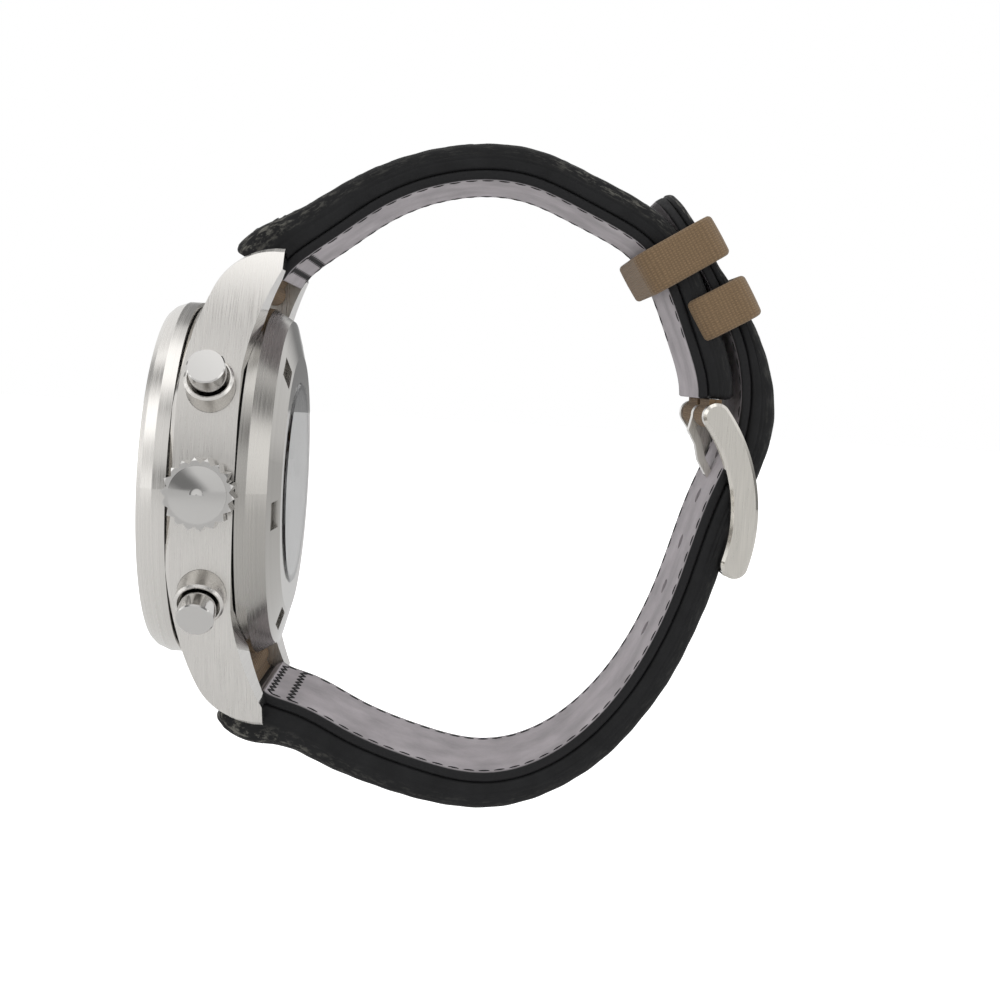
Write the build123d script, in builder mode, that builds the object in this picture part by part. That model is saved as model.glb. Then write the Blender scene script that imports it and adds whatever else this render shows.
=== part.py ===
from build123d import *
import os
from math import atan2, cos, degrees, hypot, pi, radians, sin, sqrt

# Pilot watch: a self-winding chronograph on a buckled leather and textile strap.
# The frame has its origin in the middle of the wrist loop, level with the winding stem.
# +Z points to 12 o'clock, -X out of the dial and -Y along the stem to the crown.
# Heights of the case and movement are measured from the stem axis, positive to the dial.
os.makedirs("parts", exist_ok=True)

# Where the case stands beside the wrist loop
wrist_reach = 32.0
overrun = 3.0
seat_gap = 0.02
running_gap = 0.05

# Mid-case, its flanks and its four lugs
case_radius = 21.25
case_bore_radius = 18.0
mid_case_top = 4.1
mid_case_bottom = -3.2
flank_radius = 50.0
lug_reach = 27.45
lug_gap_width = 21.0
lug_tip_top = -5.6
lug_tip_bottom = -6.6
lug_tip_inset = 2.4
lug_bevel = 0.5
lug_back_start = 13.5
lug_back_sag = 0.5
shoulder_start = 9.0
shoulder_mid = 22.3
shoulder_mid_height = 1.0
shoulder_rise = 0.45
lug_nose_bulge = 1.25

# Bezel and front crystal
bezel_gap = 0.15
bezel_band_height = 1.5
bezel_height = 3.4
bezel_rim_radius = 20.74
bezel_rim_height = 2.8
bezel_bevel_radius = 20.2
bezel_seat_radius = 18.75
bezel_ledge_radius = 17.4
bezel_ledge_height = 1.65
bezel_spigot_depth = 0.9
crystal_edge_height = 1.4
crystal_chamfer = 0.25
crystal_dome = 0.7
crystal_gasket_wall = 0.36

# Case back, its crystal and gasket
back_gap = 0.15
back_radius = 21.15
back_bevel_height = 1.15
back_bevel_radius = 20.95
back_cone_height = 3.3
back_cone_radius = 19.6
back_depth = 4.4
back_flat_radius = 15.5
back_wall = 0.75
back_floor_height = 2.95
back_spigot_height = 0.85
back_crystal_radius = 12.25
back_crystal_ledge = 0.85
back_crystal_thickness = 1.15
back_crystal_proud = 0.2
back_gasket_inner = 18.4
back_gasket_outer = 20.4
opener_notch_count = 6
opener_notch_angle = -8.5
opener_notch_width = 3.2
opener_notch_length = 2.2
opener_notch_radius = 17.1
opener_notch_depth = 0.55

# Crown, its tube and the winding stem
crown_start = 22.45
crown_teeth = 18
crown_tip_radius = 4.0
crown_root_radius = 3.4
crown_ring_length = 3.35
crown_disc_radius = 3.13
crown_disc_height = 0.5
crown_disc_edge = 0.2
crown_tooth_chamfer = 0.3
crown_tooth_angle = -3.0
crown_neck_radius = 0.95
crown_hollow_radius = 2.15
crown_hollow_depth = 1.3
crown_travel = 2.0
crown_tube_radius = 1.85
crown_tube_bore = 1.0
crown_tube_reach = 22.9
crown_collar_radius = 2.75
crown_collar_depth = 0.9
crown_collar_proud = 0.55
stem_radius = 0.55
stem_end = 9.4
stem_groove_at = 12.6
stem_groove_width = 0.75
stem_groove_radius = 0.28
stem_bore_radius = 0.7
stem_bore_end = 8.6

# Chronograph pushers at 2 and 4 o'clock
pusher_angle = 30.0
pusher_cap_radius = 2.1
pusher_cap_chamfer = 0.14
pusher_face = 27.6
pusher_collar_face = 25.03
pusher_collar_radius = 2.75
pusher_collar_wall = 0.38
pusher_collar_chamfer = 0.25
pusher_collar_seat = 20.3
pusher_collar_floor = 22.2
pusher_tube_radius = 1.6
pusher_stem_radius = 0.7
pusher_travel = 1.3
pusher_bottom_gap = 0.25
pusher_hollow_radius = 1.6
pusher_roof = 0.9
pusher_stem_end = 16.35
pusher_spring_wire = 0.32
pusher_spring_turns = 5.0

# Dial side
dial_radius = 17.9
dial_bottom = 2.7
dial_thickness = 0.4
dial_hole_radius = 1.25
subdial_distance = 8.0
subdial_radius = 4.4
subdial_depth = 0.12
subdial_hole_radius = 0.4
date_window_at = 12.85
date_window_length = 2.5
date_window_height = 1.8
flange_foot_radius = 16.3
flange_wall = 0.25
flange_outer_radius = 17.3
date_disc_outer = 14.55
date_disc_inner = 11.3
date_disc_thickness = 0.2
date_groove_depth = 0.4
date_groove_side_gap = 0.2
date_disc_teeth = 31
date_disc_tooth = 0.5

# Movement frame
movement_radius = 15.2
ring_gap = 0.05
plate_bottom = -0.9
bridge_top = -2.95
bridge_thickness = 0.65
bridge_rim = 1.0
bridge_gap = 0.4
bridge_split = -1.6
train_bridge_foot = -7.7
balance_cock_width = 3.2
balance_cock_rise = 0.7
cock_foot_x = 0.9
cock_foot_y = -13.0
cock_foot_length = 3.6
cock_foot_width = 2.2
holder_bottom = -2.35
holder_radial_hole = 1.2
screw_head_radius = 0.85
screw_head_height = 0.35
screw_slot = 0.22
screw_slot_depth = 0.15
screw_shank_radius = 0.4
screw_ring_radius = 13.9
barrel_bridge_screws = (14.0, -14.0, 84.0)
train_bridge_screws = (105.0, 200.0)
balance_cutout_radius = 3.4
bridge_radius = 14.9
jewel_radius = 0.8
jewel_thickness = 0.3
lever_pocket_inner = 13.0
lever_pocket_width = 3.4
lever_pocket_top = 1.1

# Going train, places from the centre of the dial, x to 3 o'clock and y to 12 o'clock
pivot_radius = 0.16
arbor_radius = 0.28
wheel_thickness = 0.2
wheel_rim = 0.75
wheel_hub = 0.9
spoke_width = 0.45
spoke_count = 5
tooth_depth_share = 0.5
pivot_length = 0.3
mesh_gap = 0.03
centre_at = (0.0, 0.0)
third_at = (-4.6, 4.2)
seconds_at = (-8.0, 0.0)
escape_at = (-11.2, -4.4)
fork_at = (-8.9, -6.6)
balance_at = (-5.2, -8.8)
barrel_at = (4.8, -5.2)
barrel_teeth, centre_leaves = 60, 10
centre_teeth, third_leaves = 64, 8
third_teeth, seconds_leaves = 60, 8
seconds_teeth, escape_leaves = 70, 7
centre_wheel_level = -1.4
third_wheel_level = -2.05
seconds_wheel_level = -2.45
escape_wheel_level = -1.7
barrel_level = -2.35
barrel_height = 0.8
barrel_wall = 0.35
barrel_floor = 0.15
barrel_arbor_radius = 0.9
mainspring_thickness = 0.28
mainspring_turns = 5
spiral_steps = 12
escape_teeth = 15
escape_radius = 2.3
fork_thickness = 0.3
fork_width = 0.45
pallet_spread = 1.55
pallet_width = 0.35
pallet_reach = 0.9
roller_radius = 0.9
roller_gap = 0.12
fork_level = -1.75
balance_radius = 3.85
balance_rim = 0.45
balance_level = -2.85
balance_thickness = 0.3
hairspring_turns = 5
hairspring_inner = 0.55
hairspring_outer = 2.6
hairspring_thickness = 0.12
hairspring_height = 0.2
hairspring_level = -3.3

# Chronograph layer under the rotor
chrono_level = -4.15
chrono_teeth = 60
chrono_wheel_radius = 4.0
minute_counter_radius = 3.4
hour_counter_radius = 2.3
hour_counter_level = 1.5
counter_recess_radius = 2.7
counter_recess_floor = 1.25
lever_level = -4.3
lever_thickness = 0.4
lever_width = 1.5
lever_pivot = (7.6, 11.9)
lever_pivot_radius = 0.6
lever_tab_radius = 15.75
lever_tab_thickness = 0.7
lever_tab_width = 1.3
lever_tab_top = 0.35
lever_nose = (5.6, 6.4)
setting_pivot = (13.6, 3.7)
setting_level = 0.95
setting_thickness = 0.35
setting_width = 1.0
setting_pin_radius = 0.25
setting_post_radius = 0.35
setting_slot_width = 1.0
setting_pocket_margin = 0.55

# Rotor
rotor_radius = 14.6
rotor_rim_inner = 11.9
rotor_plate_level = -5.35
rotor_plate_thickness = 0.4
rotor_rim_level = -6.0
rotor_hub_radius = 2.6
rotor_bearing_radius = 1.7
rotor_bore_radius = 1.75
rotor_window_inner = 5.2
rotor_window_outer = 10.4
rotor_window_angle = 34.0
rotor_spoke_angle = 11.33
rotor_bridge_level = -4.8
rotor_bridge_thickness = 0.4
rotor_bridge_width = 4.0
rotor_bridge_angle = 0.0

# Hands
hour_tube_radius = 1.0
hour_wheel_radius = 2.4
hour_wheel_level = 1.6
hour_wheel_teeth = 32
hour_tube_bore = 0.68
minute_tube_radius = 0.6
minute_tube_bore = 0.34
chrono_arbor_radius = 0.26
counter_arbor_radius = 0.2
arbor_end = 0.15
hour_hand_level = 3.5
minute_hand_level = 4.05
chrono_hand_level = 4.6
counter_hand_level = 3.22
hand_thickness = 0.16
counter_hand_thickness = 0.12
hour_hand_length = 10.2
minute_hand_length = 15.0
chrono_hand_length = 16.0
counter_hand_length = 3.7
hour_hand_width = 2.1
minute_hand_width = 1.75
hand_boss_radius = 1.35
chrono_boss_radius = 0.95
chrono_tail_length = 5.0
chrono_hand_width = 0.36
counter_boss_radius = 0.55
counter_hand_width = 0.42
counter_tail_length = 1.1
hand_shoulder_share = 0.72
hand_root_share = 0.42
needle_tip_share = 0.5
dial_hours = 12
dial_minutes = 60
rest_hour = 10
rest_minute = 10

# Spring bars in the lugs and the buckle
lug_bar_height = -2.8
lug_bar_reach = 23.2
bar_radius = 0.75
bar_tip_radius = 0.42
bar_tip_length = 1.3
bar_hole_gap = 0.04

# Strap
strap_width = 20.6
buckle_width = 18.2
strap_thickness = 4.1
lug_end_thickness = 5.3
tail_tip_thickness = 2.0
lining_thickness = 1.1
loop_wall = 0.7
loop_web = 1.5
strap_end_gap = 0.6
lug_end_offset = 1.1
loop_width = 60.0
loop_height = 78.0
tail_hole_radius = 0.9
tail_hole_pitch = 6.0
tail_hole_steps = (-3, -2, -1, 1)
tail_tip_radius = 6.5
buckle_bar_shares = (0.421, 0.144)
top_route_shares = [(-0.365, 0.397), (-0.260, 0.4525), (-0.165, 0.484), (-0.065, 0.500),
                    (0.045, 0.4945), (0.150, 0.464), (0.220, 0.4395), (0.282, 0.4105),
                    (0.352, 0.330), (0.392, 0.256)]
tail_route_shares = [(-0.380, -0.3575), (-0.285, -0.390), (-0.130, -0.4305), (0.005, -0.445),
                     (0.125, -0.4205), (0.232, -0.360), (0.337, -0.2475), (0.402, -0.1245),
                     (0.458, 0.019), (0.498, 0.105), (0.504, 0.173), (0.478, 0.255),
                     (0.4125, 0.3423), (0.312, 0.459)]
lug_thin_shares = (0.0, 0.3)
tail_thin_shares = (0.76, 0.92)
top_station_shares = [0.0, 0.1, 0.2, 0.3, 0.4, 0.5, 0.6, 0.7, 0.78, 0.86, 0.93, 1.0]
tail_station_shares = [0.0, 0.07, 0.14, 0.21, 0.28, 0.35, 0.42, 0.49, 0.56, 0.62, 0.68, 0.72,
                       0.76, 0.8, 0.84, 0.88, 0.94, 1.0]

# Keepers
keeper_width = 5.1
keeper_wall = 1.25
keeper_gap = 0.3
keeper_round = 1.0
free_keeper_share = 0.762
free_keeper_inner_gap = 0.9
fixed_keeper_share = 0.863
fixed_keeper_tilt = 8.0
fixed_keeper_lift = 0.42
free_keeper_cavity = 7.8
fixed_keeper_cavity = 5.1

# Buckle
arm_thickness = 1.75
arm_gap = 0.35
arm_width = 3.2
arm_bulge = 2.1
arm_chamfer = 0.35
crossbar_share = 0.616
crossbar_thickness = 1.7
crossbar_height = 3.2
crossbar_gap = 0.25
tang_width = 1.8
tang_thickness = 0.9
tang_hub_radius = 1.45
tang_hub_gap = 0.2
tang_stations = [0.0, 0.1, 0.2, 0.3, 0.4, 0.5, 0.6, 0.7, 0.8, 0.9, 1.0]
tang_share = 0.667
tang_clearance = 0.45
tang_swing = 2.5
frame_swing = 2.0
frame_chamfer_share = 0.15
bar_end_gap = 0.1
tang_offsets = [(-1.46, -1.73), (-0.56, -3.33), (-0.06, -5.33), (1.44, -7.73)]


# Frames: across the dial axis, through it, and out towards an hour
case_centre = (-wrist_reach, 0, 0)
dial_axis = Axis(case_centre, (-1, 0, 0))
turning_plane = Plane(origin=case_centre, x_dir=(0, -1, 0), z_dir=(0, 0, -1))
side_plane = Plane(origin=case_centre, x_dir=(0, 0, 1), z_dir=(0, -1, 0))


def level(height, place=(0, 0)):
    """Across the dial axis at a height, with x to 3 o'clock and y to 12 o'clock."""
    x, y = place
    return Plane(origin=(-wrist_reach - height, -x, y), x_dir=(0, -1, 0), z_dir=(-1, 0, 0))


def outward(angle):
    """The way out from the dial axis, at an angle from 3 o'clock towards 12."""
    return Vector(0, -cos(radians(angle)), sin(radians(angle)))


def out_axis(angle):
    return Axis(case_centre, outward(angle))


def out_profile(angle):
    """Through the dial axis, with x running outwards and y towards the dial."""
    across = Vector(0, -sin(radians(angle)), -cos(radians(angle)))
    return Plane(origin=case_centre, x_dir=outward(angle), z_dir=across)


def out_level(angle, distance):
    """Square to the outward way, at a distance from the dial axis."""
    origin = Vector(*case_centre) + outward(angle) * distance
    return Plane(origin=origin, x_dir=(-1, 0, 0), z_dir=outward(angle))


def around(radius, angle):
    return (radius * cos(radians(angle)), radius * sin(radians(angle)))


def teeth_outline(count, root_radius, tip_radius, start=0.0):
    """Pointed teeth: tips and roots by turns round a circle."""
    step = 360 / count
    points = []
    for index in range(count):
        points.append(around(tip_radius, start + index * step))
        points.append(around(root_radius, start + index * step + step / 2))
    return points


def dome_radius(reach, rise):
    """Radius of a dome that rises by so much over its half width."""
    return (reach**2 + rise**2) / (2 * rise)


def save(piece, name):
    piece.part.label = name
    export_step(piece.part, "parts/" + name + ".step")


def turned(name, outline):
    """A piece turned about the dial axis, its outline in radius and height."""
    with BuildPart() as piece:
        with BuildSketch(turning_plane):
            Polygon(*outline)
        revolve(axis=dial_axis)
    save(piece, name)


# Mid-case: flanks and lugs in one, then the round band, the bore and the holes
flank_end = lug_reach + overrun
flank_tip = case_radius - flank_radius + sqrt(flank_radius**2 - flank_end**2)
lug_tip_back = lug_reach - lug_tip_inset
pusher_angles = (pusher_angle, -pusher_angle)
with BuildPart() as mid_case:
    with BuildSketch(level(lug_tip_bottom)):
        with BuildLine():
            ThreePointArc((flank_tip, flank_end), (case_radius, 0), (flank_tip, -flank_end))
            Polyline((flank_tip, -flank_end), (lug_gap_width / 2, -flank_end),
                     (lug_gap_width / 2, flank_end), (flank_tip, flank_end))
        make_face()
        mirror(about=Plane.YZ)
    extrude(amount=mid_case_top - lug_tip_bottom)
    with BuildSketch(side_plane):
        with BuildLine():
            Line((0, mid_case_top), (shoulder_start, mid_case_top))
            SagittaArc((shoulder_start, mid_case_top), (shoulder_mid, shoulder_mid_height),
                       shoulder_rise)
            SagittaArc((shoulder_mid, shoulder_mid_height), (lug_reach, lug_tip_top),
                       lug_nose_bulge)
            Polyline((lug_reach, lug_tip_top), (lug_reach, lug_tip_bottom),
                     (lug_tip_back, lug_tip_bottom))
            SagittaArc((lug_tip_back, lug_tip_bottom), (lug_back_start, mid_case_bottom),
                       -lug_back_sag)
            Polyline((lug_back_start, mid_case_bottom), (0, mid_case_bottom), (0, mid_case_top))
        make_face()
        mirror(about=Plane.YZ)
    extrude(amount=case_radius + overrun, both=True, mode=Mode.INTERSECT)
    flanks = mid_case.faces().filter_by(GeomType.CYLINDER)
    flanks = flanks.filter_by(lambda face: abs(face.normal_at().Y) > abs(face.normal_at().X))
    dial_side = -wrist_reach - lug_tip_top / 2
    chamfer([edge for edge in flanks.edges() if edge.center().X < dial_side], length=lug_bevel)
    with BuildSketch(turning_plane):
        Polygon((case_bore_radius / 2, mid_case_bottom), (case_radius, mid_case_bottom),
                (case_radius, mid_case_top - lug_bevel), (case_radius - lug_bevel, mid_case_top),
                (case_bore_radius / 2, mid_case_top))
    revolve(axis=dial_axis)
    with BuildSketch(level(lug_tip_bottom)):
        Circle(case_bore_radius)
    extrude(amount=mid_case_top - lug_tip_bottom + overrun, mode=Mode.SUBTRACT)
    with BuildSketch(level(lug_tip_bottom)):
        Circle(back_radius + back_gap)
    extrude(amount=mid_case_bottom - lug_tip_bottom, mode=Mode.SUBTRACT)
    with BuildSketch(out_level(0, case_bore_radius - overrun)):
        Circle(crown_tube_radius + seat_gap)
    extrude(amount=case_radius - case_bore_radius + 2 * overrun, mode=Mode.SUBTRACT)
    with BuildSketch(out_level(0, case_radius - crown_collar_depth)):
        Circle(crown_collar_radius + seat_gap)
    extrude(amount=crown_collar_depth + overrun, mode=Mode.SUBTRACT)
    for angle in pusher_angles:
        with BuildSketch(out_level(angle, case_bore_radius - overrun)):
            Circle(pusher_tube_radius + seat_gap)
        extrude(amount=case_radius - case_bore_radius + 2 * overrun, mode=Mode.SUBTRACT)
        with BuildSketch(out_level(angle, pusher_collar_seat)):
            Circle(pusher_collar_radius + seat_gap)
        extrude(amount=pusher_collar_face - pusher_collar_seat, mode=Mode.SUBTRACT)
    for side in (1, -1):
        with BuildSketch(side_plane):
            with Locations((side * lug_bar_reach, lug_bar_height)):
                Circle(bar_tip_radius + bar_hole_gap)
        extrude(amount=lug_gap_width / 2 + bar_tip_length, both=True, mode=Mode.SUBTRACT)
save(mid_case, "mid_case")

# Bezel, front crystal and the gasket between them
bezel_bottom = mid_case_top + bezel_gap
bezel_seat = bezel_bottom + bezel_ledge_height
bezel_top = bezel_bottom + bezel_height
turned("bezel", [
    (bezel_ledge_radius, bezel_bottom - bezel_spigot_depth),
    (case_bore_radius - seat_gap, bezel_bottom - bezel_spigot_depth),
    (case_bore_radius - seat_gap, bezel_bottom), (case_radius, bezel_bottom),
    (case_radius, bezel_bottom + bezel_band_height),
    (bezel_rim_radius, bezel_bottom + bezel_rim_height),
    (bezel_bevel_radius, bezel_top), (bezel_seat_radius, bezel_top),
    (bezel_seat_radius, bezel_seat), (bezel_ledge_radius, bezel_seat)])

crystal_radius = bezel_seat_radius - crystal_gasket_wall - seat_gap
crystal_edge = bezel_seat + crystal_edge_height
with BuildPart() as crystal:
    with BuildSketch(turning_plane):
        with BuildLine():
            Polyline((0, crystal_edge + crystal_chamfer + crystal_dome), (0, bezel_seat),
                     (crystal_radius, bezel_seat), (crystal_radius, crystal_edge),
                     (crystal_radius - crystal_chamfer, crystal_edge + crystal_chamfer))
            RadiusArc((crystal_radius - crystal_chamfer, crystal_edge + crystal_chamfer),
                      (0, crystal_edge + crystal_chamfer + crystal_dome),
                      -dome_radius(crystal_radius - crystal_chamfer, crystal_dome))
        make_face()
    revolve(axis=dial_axis)
save(crystal, "crystal")

# Case back, its crystal and the two gaskets
back_top = mid_case_bottom - back_gap
back_low = back_top - back_depth
back_floor = back_top - back_floor_height
back_seat = back_low - back_crystal_proud + back_crystal_thickness
back_spigot_radius = case_bore_radius - running_gap
with BuildPart() as case_back:
    with BuildSketch(turning_plane):
        Polygon((back_spigot_radius - back_wall, back_top + back_spigot_height),
                (back_spigot_radius, back_top + back_spigot_height),
                (back_spigot_radius, back_top), (back_radius, back_top),
                (back_bevel_radius, back_top - back_bevel_height),
                (back_cone_radius, back_top - back_cone_height),
                (back_flat_radius, back_low), (back_crystal_radius, back_low),
                (back_crystal_radius, back_seat),
                (back_crystal_radius - back_crystal_ledge, back_seat),
                (back_crystal_radius - back_crystal_ledge, back_floor),
                (back_spigot_radius - back_wall, back_floor))
    revolve(axis=dial_axis)
    for index in range(opener_notch_count):
        angle = opener_notch_angle + index * 360 / opener_notch_count
        slope = (back_cone_height - back_depth) / (back_cone_radius - back_flat_radius)
        notch_height = back_low - slope * (opener_notch_radius - back_flat_radius)
        with BuildSketch(out_profile(angle)):
            with Locations((opener_notch_radius, notch_height)):
                Rectangle(opener_notch_length, 2 * opener_notch_depth)
        extrude(amount=opener_notch_width / 2, both=True, mode=Mode.SUBTRACT)
save(case_back, "case_back")

with BuildPart() as back_crystal:
    with BuildSketch(level(back_seat)):
        Circle(back_crystal_radius - seat_gap)
    extrude(amount=-back_crystal_thickness)
    chamfer(back_crystal.edges().sort_by(Axis.X)[-1], length=back_crystal_proud)
save(back_crystal, "back_crystal")

with BuildPart() as gaskets:
    with BuildSketch(level(bezel_seat)):
        Circle(bezel_seat_radius - seat_gap)
        Circle(crystal_radius + seat_gap, mode=Mode.SUBTRACT)
    extrude(amount=crystal_edge_height)
    with BuildSketch(level(back_top)):
        Circle(back_gasket_outer)
        Circle(back_gasket_inner, mode=Mode.SUBTRACT)
    extrude(amount=back_gap)
save(gaskets, "gaskets")

# Crown tube, pressed into the case with its collar in the flank
crown_collar_face = case_radius + crown_collar_proud
crown_collar_foot = case_radius - crown_collar_depth
with BuildPart() as crown_tube:
    with BuildSketch(out_profile(0)):
        Polygon((case_bore_radius, crown_tube_bore), (crown_tube_reach, crown_tube_bore),
                (crown_tube_reach, crown_tube_radius), (crown_collar_face, crown_tube_radius),
                (crown_collar_face, crown_collar_radius), (crown_collar_foot, crown_collar_radius),
                (crown_collar_foot, crown_tube_radius), (case_bore_radius, crown_tube_radius))
    revolve(axis=out_axis(0))
save(crown_tube, "crown_tube")

# Crown: bevelled pointed teeth round it, a domed disc outside and the neck in its tube
crown_end = crown_start + crown_ring_length
crown_floor = crown_start + crown_hollow_depth
stem_head = crown_floor + crown_hollow_depth
with BuildPart() as crown:
    with BuildSketch(out_level(0, crown_start)):
        Polygon(*teeth_outline(crown_teeth, crown_root_radius, crown_tip_radius, crown_tooth_angle))
    extrude(amount=crown_ring_length)
    with BuildSketch(out_profile(0)):
        Polygon((crown_start, 0), (crown_start, crown_tip_radius - crown_tooth_chamfer),
                (crown_start + crown_tooth_chamfer, crown_tip_radius),
                (crown_end - crown_tooth_chamfer, crown_tip_radius),
                (crown_end, crown_tip_radius - crown_tooth_chamfer), (crown_end, 0))
    revolve(axis=out_axis(0), mode=Mode.INTERSECT)
    with BuildSketch(out_level(0, crown_start)):
        Circle(crown_hollow_radius)
    extrude(amount=crown_hollow_depth, mode=Mode.SUBTRACT)
    with BuildSketch(out_profile(0)):
        with BuildLine():
            Polyline((crown_end + crown_disc_height, 0), (crown_floor, 0),
                     (crown_floor, crown_disc_radius), (crown_end + crown_disc_edge, crown_disc_radius))
            RadiusArc((crown_end + crown_disc_edge, crown_disc_radius),
                      (crown_end + crown_disc_height, 0),
                      dome_radius(crown_disc_radius, crown_disc_height - crown_disc_edge))
        make_face()
    revolve(axis=out_axis(0))
    with BuildSketch(out_level(0, case_bore_radius)):
        Circle(crown_neck_radius)
    extrude(amount=crown_floor - case_bore_radius)
    with BuildSketch(out_level(0, case_bore_radius)):
        Circle(stem_radius + seat_gap)
    extrude(amount=stem_head - case_bore_radius, mode=Mode.SUBTRACT)
save(crown, "crown")

with BuildPart() as winding_stem:
    with BuildSketch(out_profile(0)):
        Polygon((stem_end, 0), (stem_end, stem_radius),
                (stem_groove_at - stem_groove_width / 2, stem_radius),
                (stem_groove_at - stem_groove_width / 2, stem_groove_radius),
                (stem_groove_at + stem_groove_width / 2, stem_groove_radius),
                (stem_groove_at + stem_groove_width / 2, stem_radius),
                (stem_head - seat_gap, stem_radius), (stem_head - seat_gap, 0))
    revolve(axis=out_axis(0))
save(winding_stem, "winding_stem")

# Pushers: tubes with their cups, sliding caps on stems, and the springs between
pusher_inner_roof = pusher_face - pusher_roof
pusher_skirt = pusher_collar_floor + pusher_travel + pusher_bottom_gap
pusher_tube_bore = pusher_stem_radius + running_gap
with BuildPart() as pusher_tubes:
    for angle in pusher_angles:
        with BuildSketch(out_profile(angle)):
            Polygon((case_bore_radius, pusher_tube_bore), (pusher_collar_floor, pusher_tube_bore),
                    (pusher_collar_floor, pusher_collar_radius - pusher_collar_wall),
                    (pusher_collar_face, pusher_collar_radius - pusher_collar_wall),
                    (pusher_collar_face, pusher_collar_radius - pusher_collar_chamfer),
                    (pusher_collar_face - pusher_collar_chamfer, pusher_collar_radius),
                    (pusher_collar_seat, pusher_collar_radius),
                    (pusher_collar_seat, pusher_tube_radius),
                    (case_bore_radius, pusher_tube_radius))
        revolve(axis=out_axis(angle))
save(pusher_tubes, "pusher_tubes")

spring_foot = pusher_collar_floor + running_gap + pusher_spring_wire / 2
spring_head = pusher_inner_roof - running_gap - pusher_spring_wire / 2
spring_radius = (pusher_stem_radius + pusher_hollow_radius) / 2
for angle, use in ((pusher_angle, "start"), (-pusher_angle, "reset")):
    with BuildPart() as pusher:
        with BuildSketch(out_profile(angle)):
            Polygon((pusher_stem_end, 0), (pusher_stem_end, pusher_stem_radius),
                    (pusher_inner_roof, pusher_stem_radius),
                    (pusher_inner_roof, pusher_hollow_radius),
                    (pusher_skirt, pusher_hollow_radius), (pusher_skirt, pusher_cap_radius),
                    (pusher_face - pusher_cap_chamfer, pusher_cap_radius),
                    (pusher_face, pusher_cap_radius - pusher_cap_chamfer), (pusher_face, 0))
        revolve(axis=out_axis(angle))
    save(pusher, "pusher_" + use)
    with BuildPart() as pusher_spring:
        with BuildLine() as coil:
            Helix(pitch=(spring_head - spring_foot) / pusher_spring_turns,
                  height=spring_head - spring_foot, radius=spring_radius,
                  center=Vector(*case_centre) + outward(angle) * spring_foot,
                  direction=outward(angle))
        with BuildSketch(Plane(origin=coil.line @ 0, z_dir=coil.line % 0)):
            Rectangle(pusher_spring_wire, pusher_spring_wire)
        sweep(is_frenet=True)
    save(pusher_spring, "pusher_spring_" + use)

# Dial, flange and date disc
dial_top = dial_bottom + dial_thickness
subdial_places = ((0, subdial_distance), (0, -subdial_distance), (-subdial_distance, 0))
with BuildPart() as dial:
    with BuildSketch(level(dial_bottom)):
        Circle(dial_radius)
        Circle(dial_hole_radius, mode=Mode.SUBTRACT)
        with Locations(*subdial_places):
            Circle(subdial_hole_radius, mode=Mode.SUBTRACT)
        with Locations((date_window_at, 0)):
            Rectangle(date_window_length, date_window_height, mode=Mode.SUBTRACT)
    extrude(amount=dial_thickness)
    with BuildSketch(level(dial_top)):
        with Locations(*subdial_places):
            Circle(subdial_radius)
    extrude(amount=-subdial_depth, mode=Mode.SUBTRACT)
save(dial, "dial")

turned("dial_flange", [
    (flange_foot_radius, dial_top), (flange_outer_radius, dial_top),
    (flange_outer_radius, bezel_seat - running_gap),
    (flange_outer_radius - flange_wall, bezel_seat - running_gap)])

date_groove_floor = dial_bottom - date_groove_depth
with BuildPart() as date_disc:
    with BuildSketch(level(date_groove_floor + (date_groove_depth - date_disc_thickness) / 2)):
        Circle(date_disc_outer)
        Polygon(*teeth_outline(date_disc_teeth, date_disc_inner, date_disc_inner + date_disc_tooth),
                mode=Mode.SUBTRACT)
    extrude(amount=date_disc_thickness)
save(date_disc, "date_disc")

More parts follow.
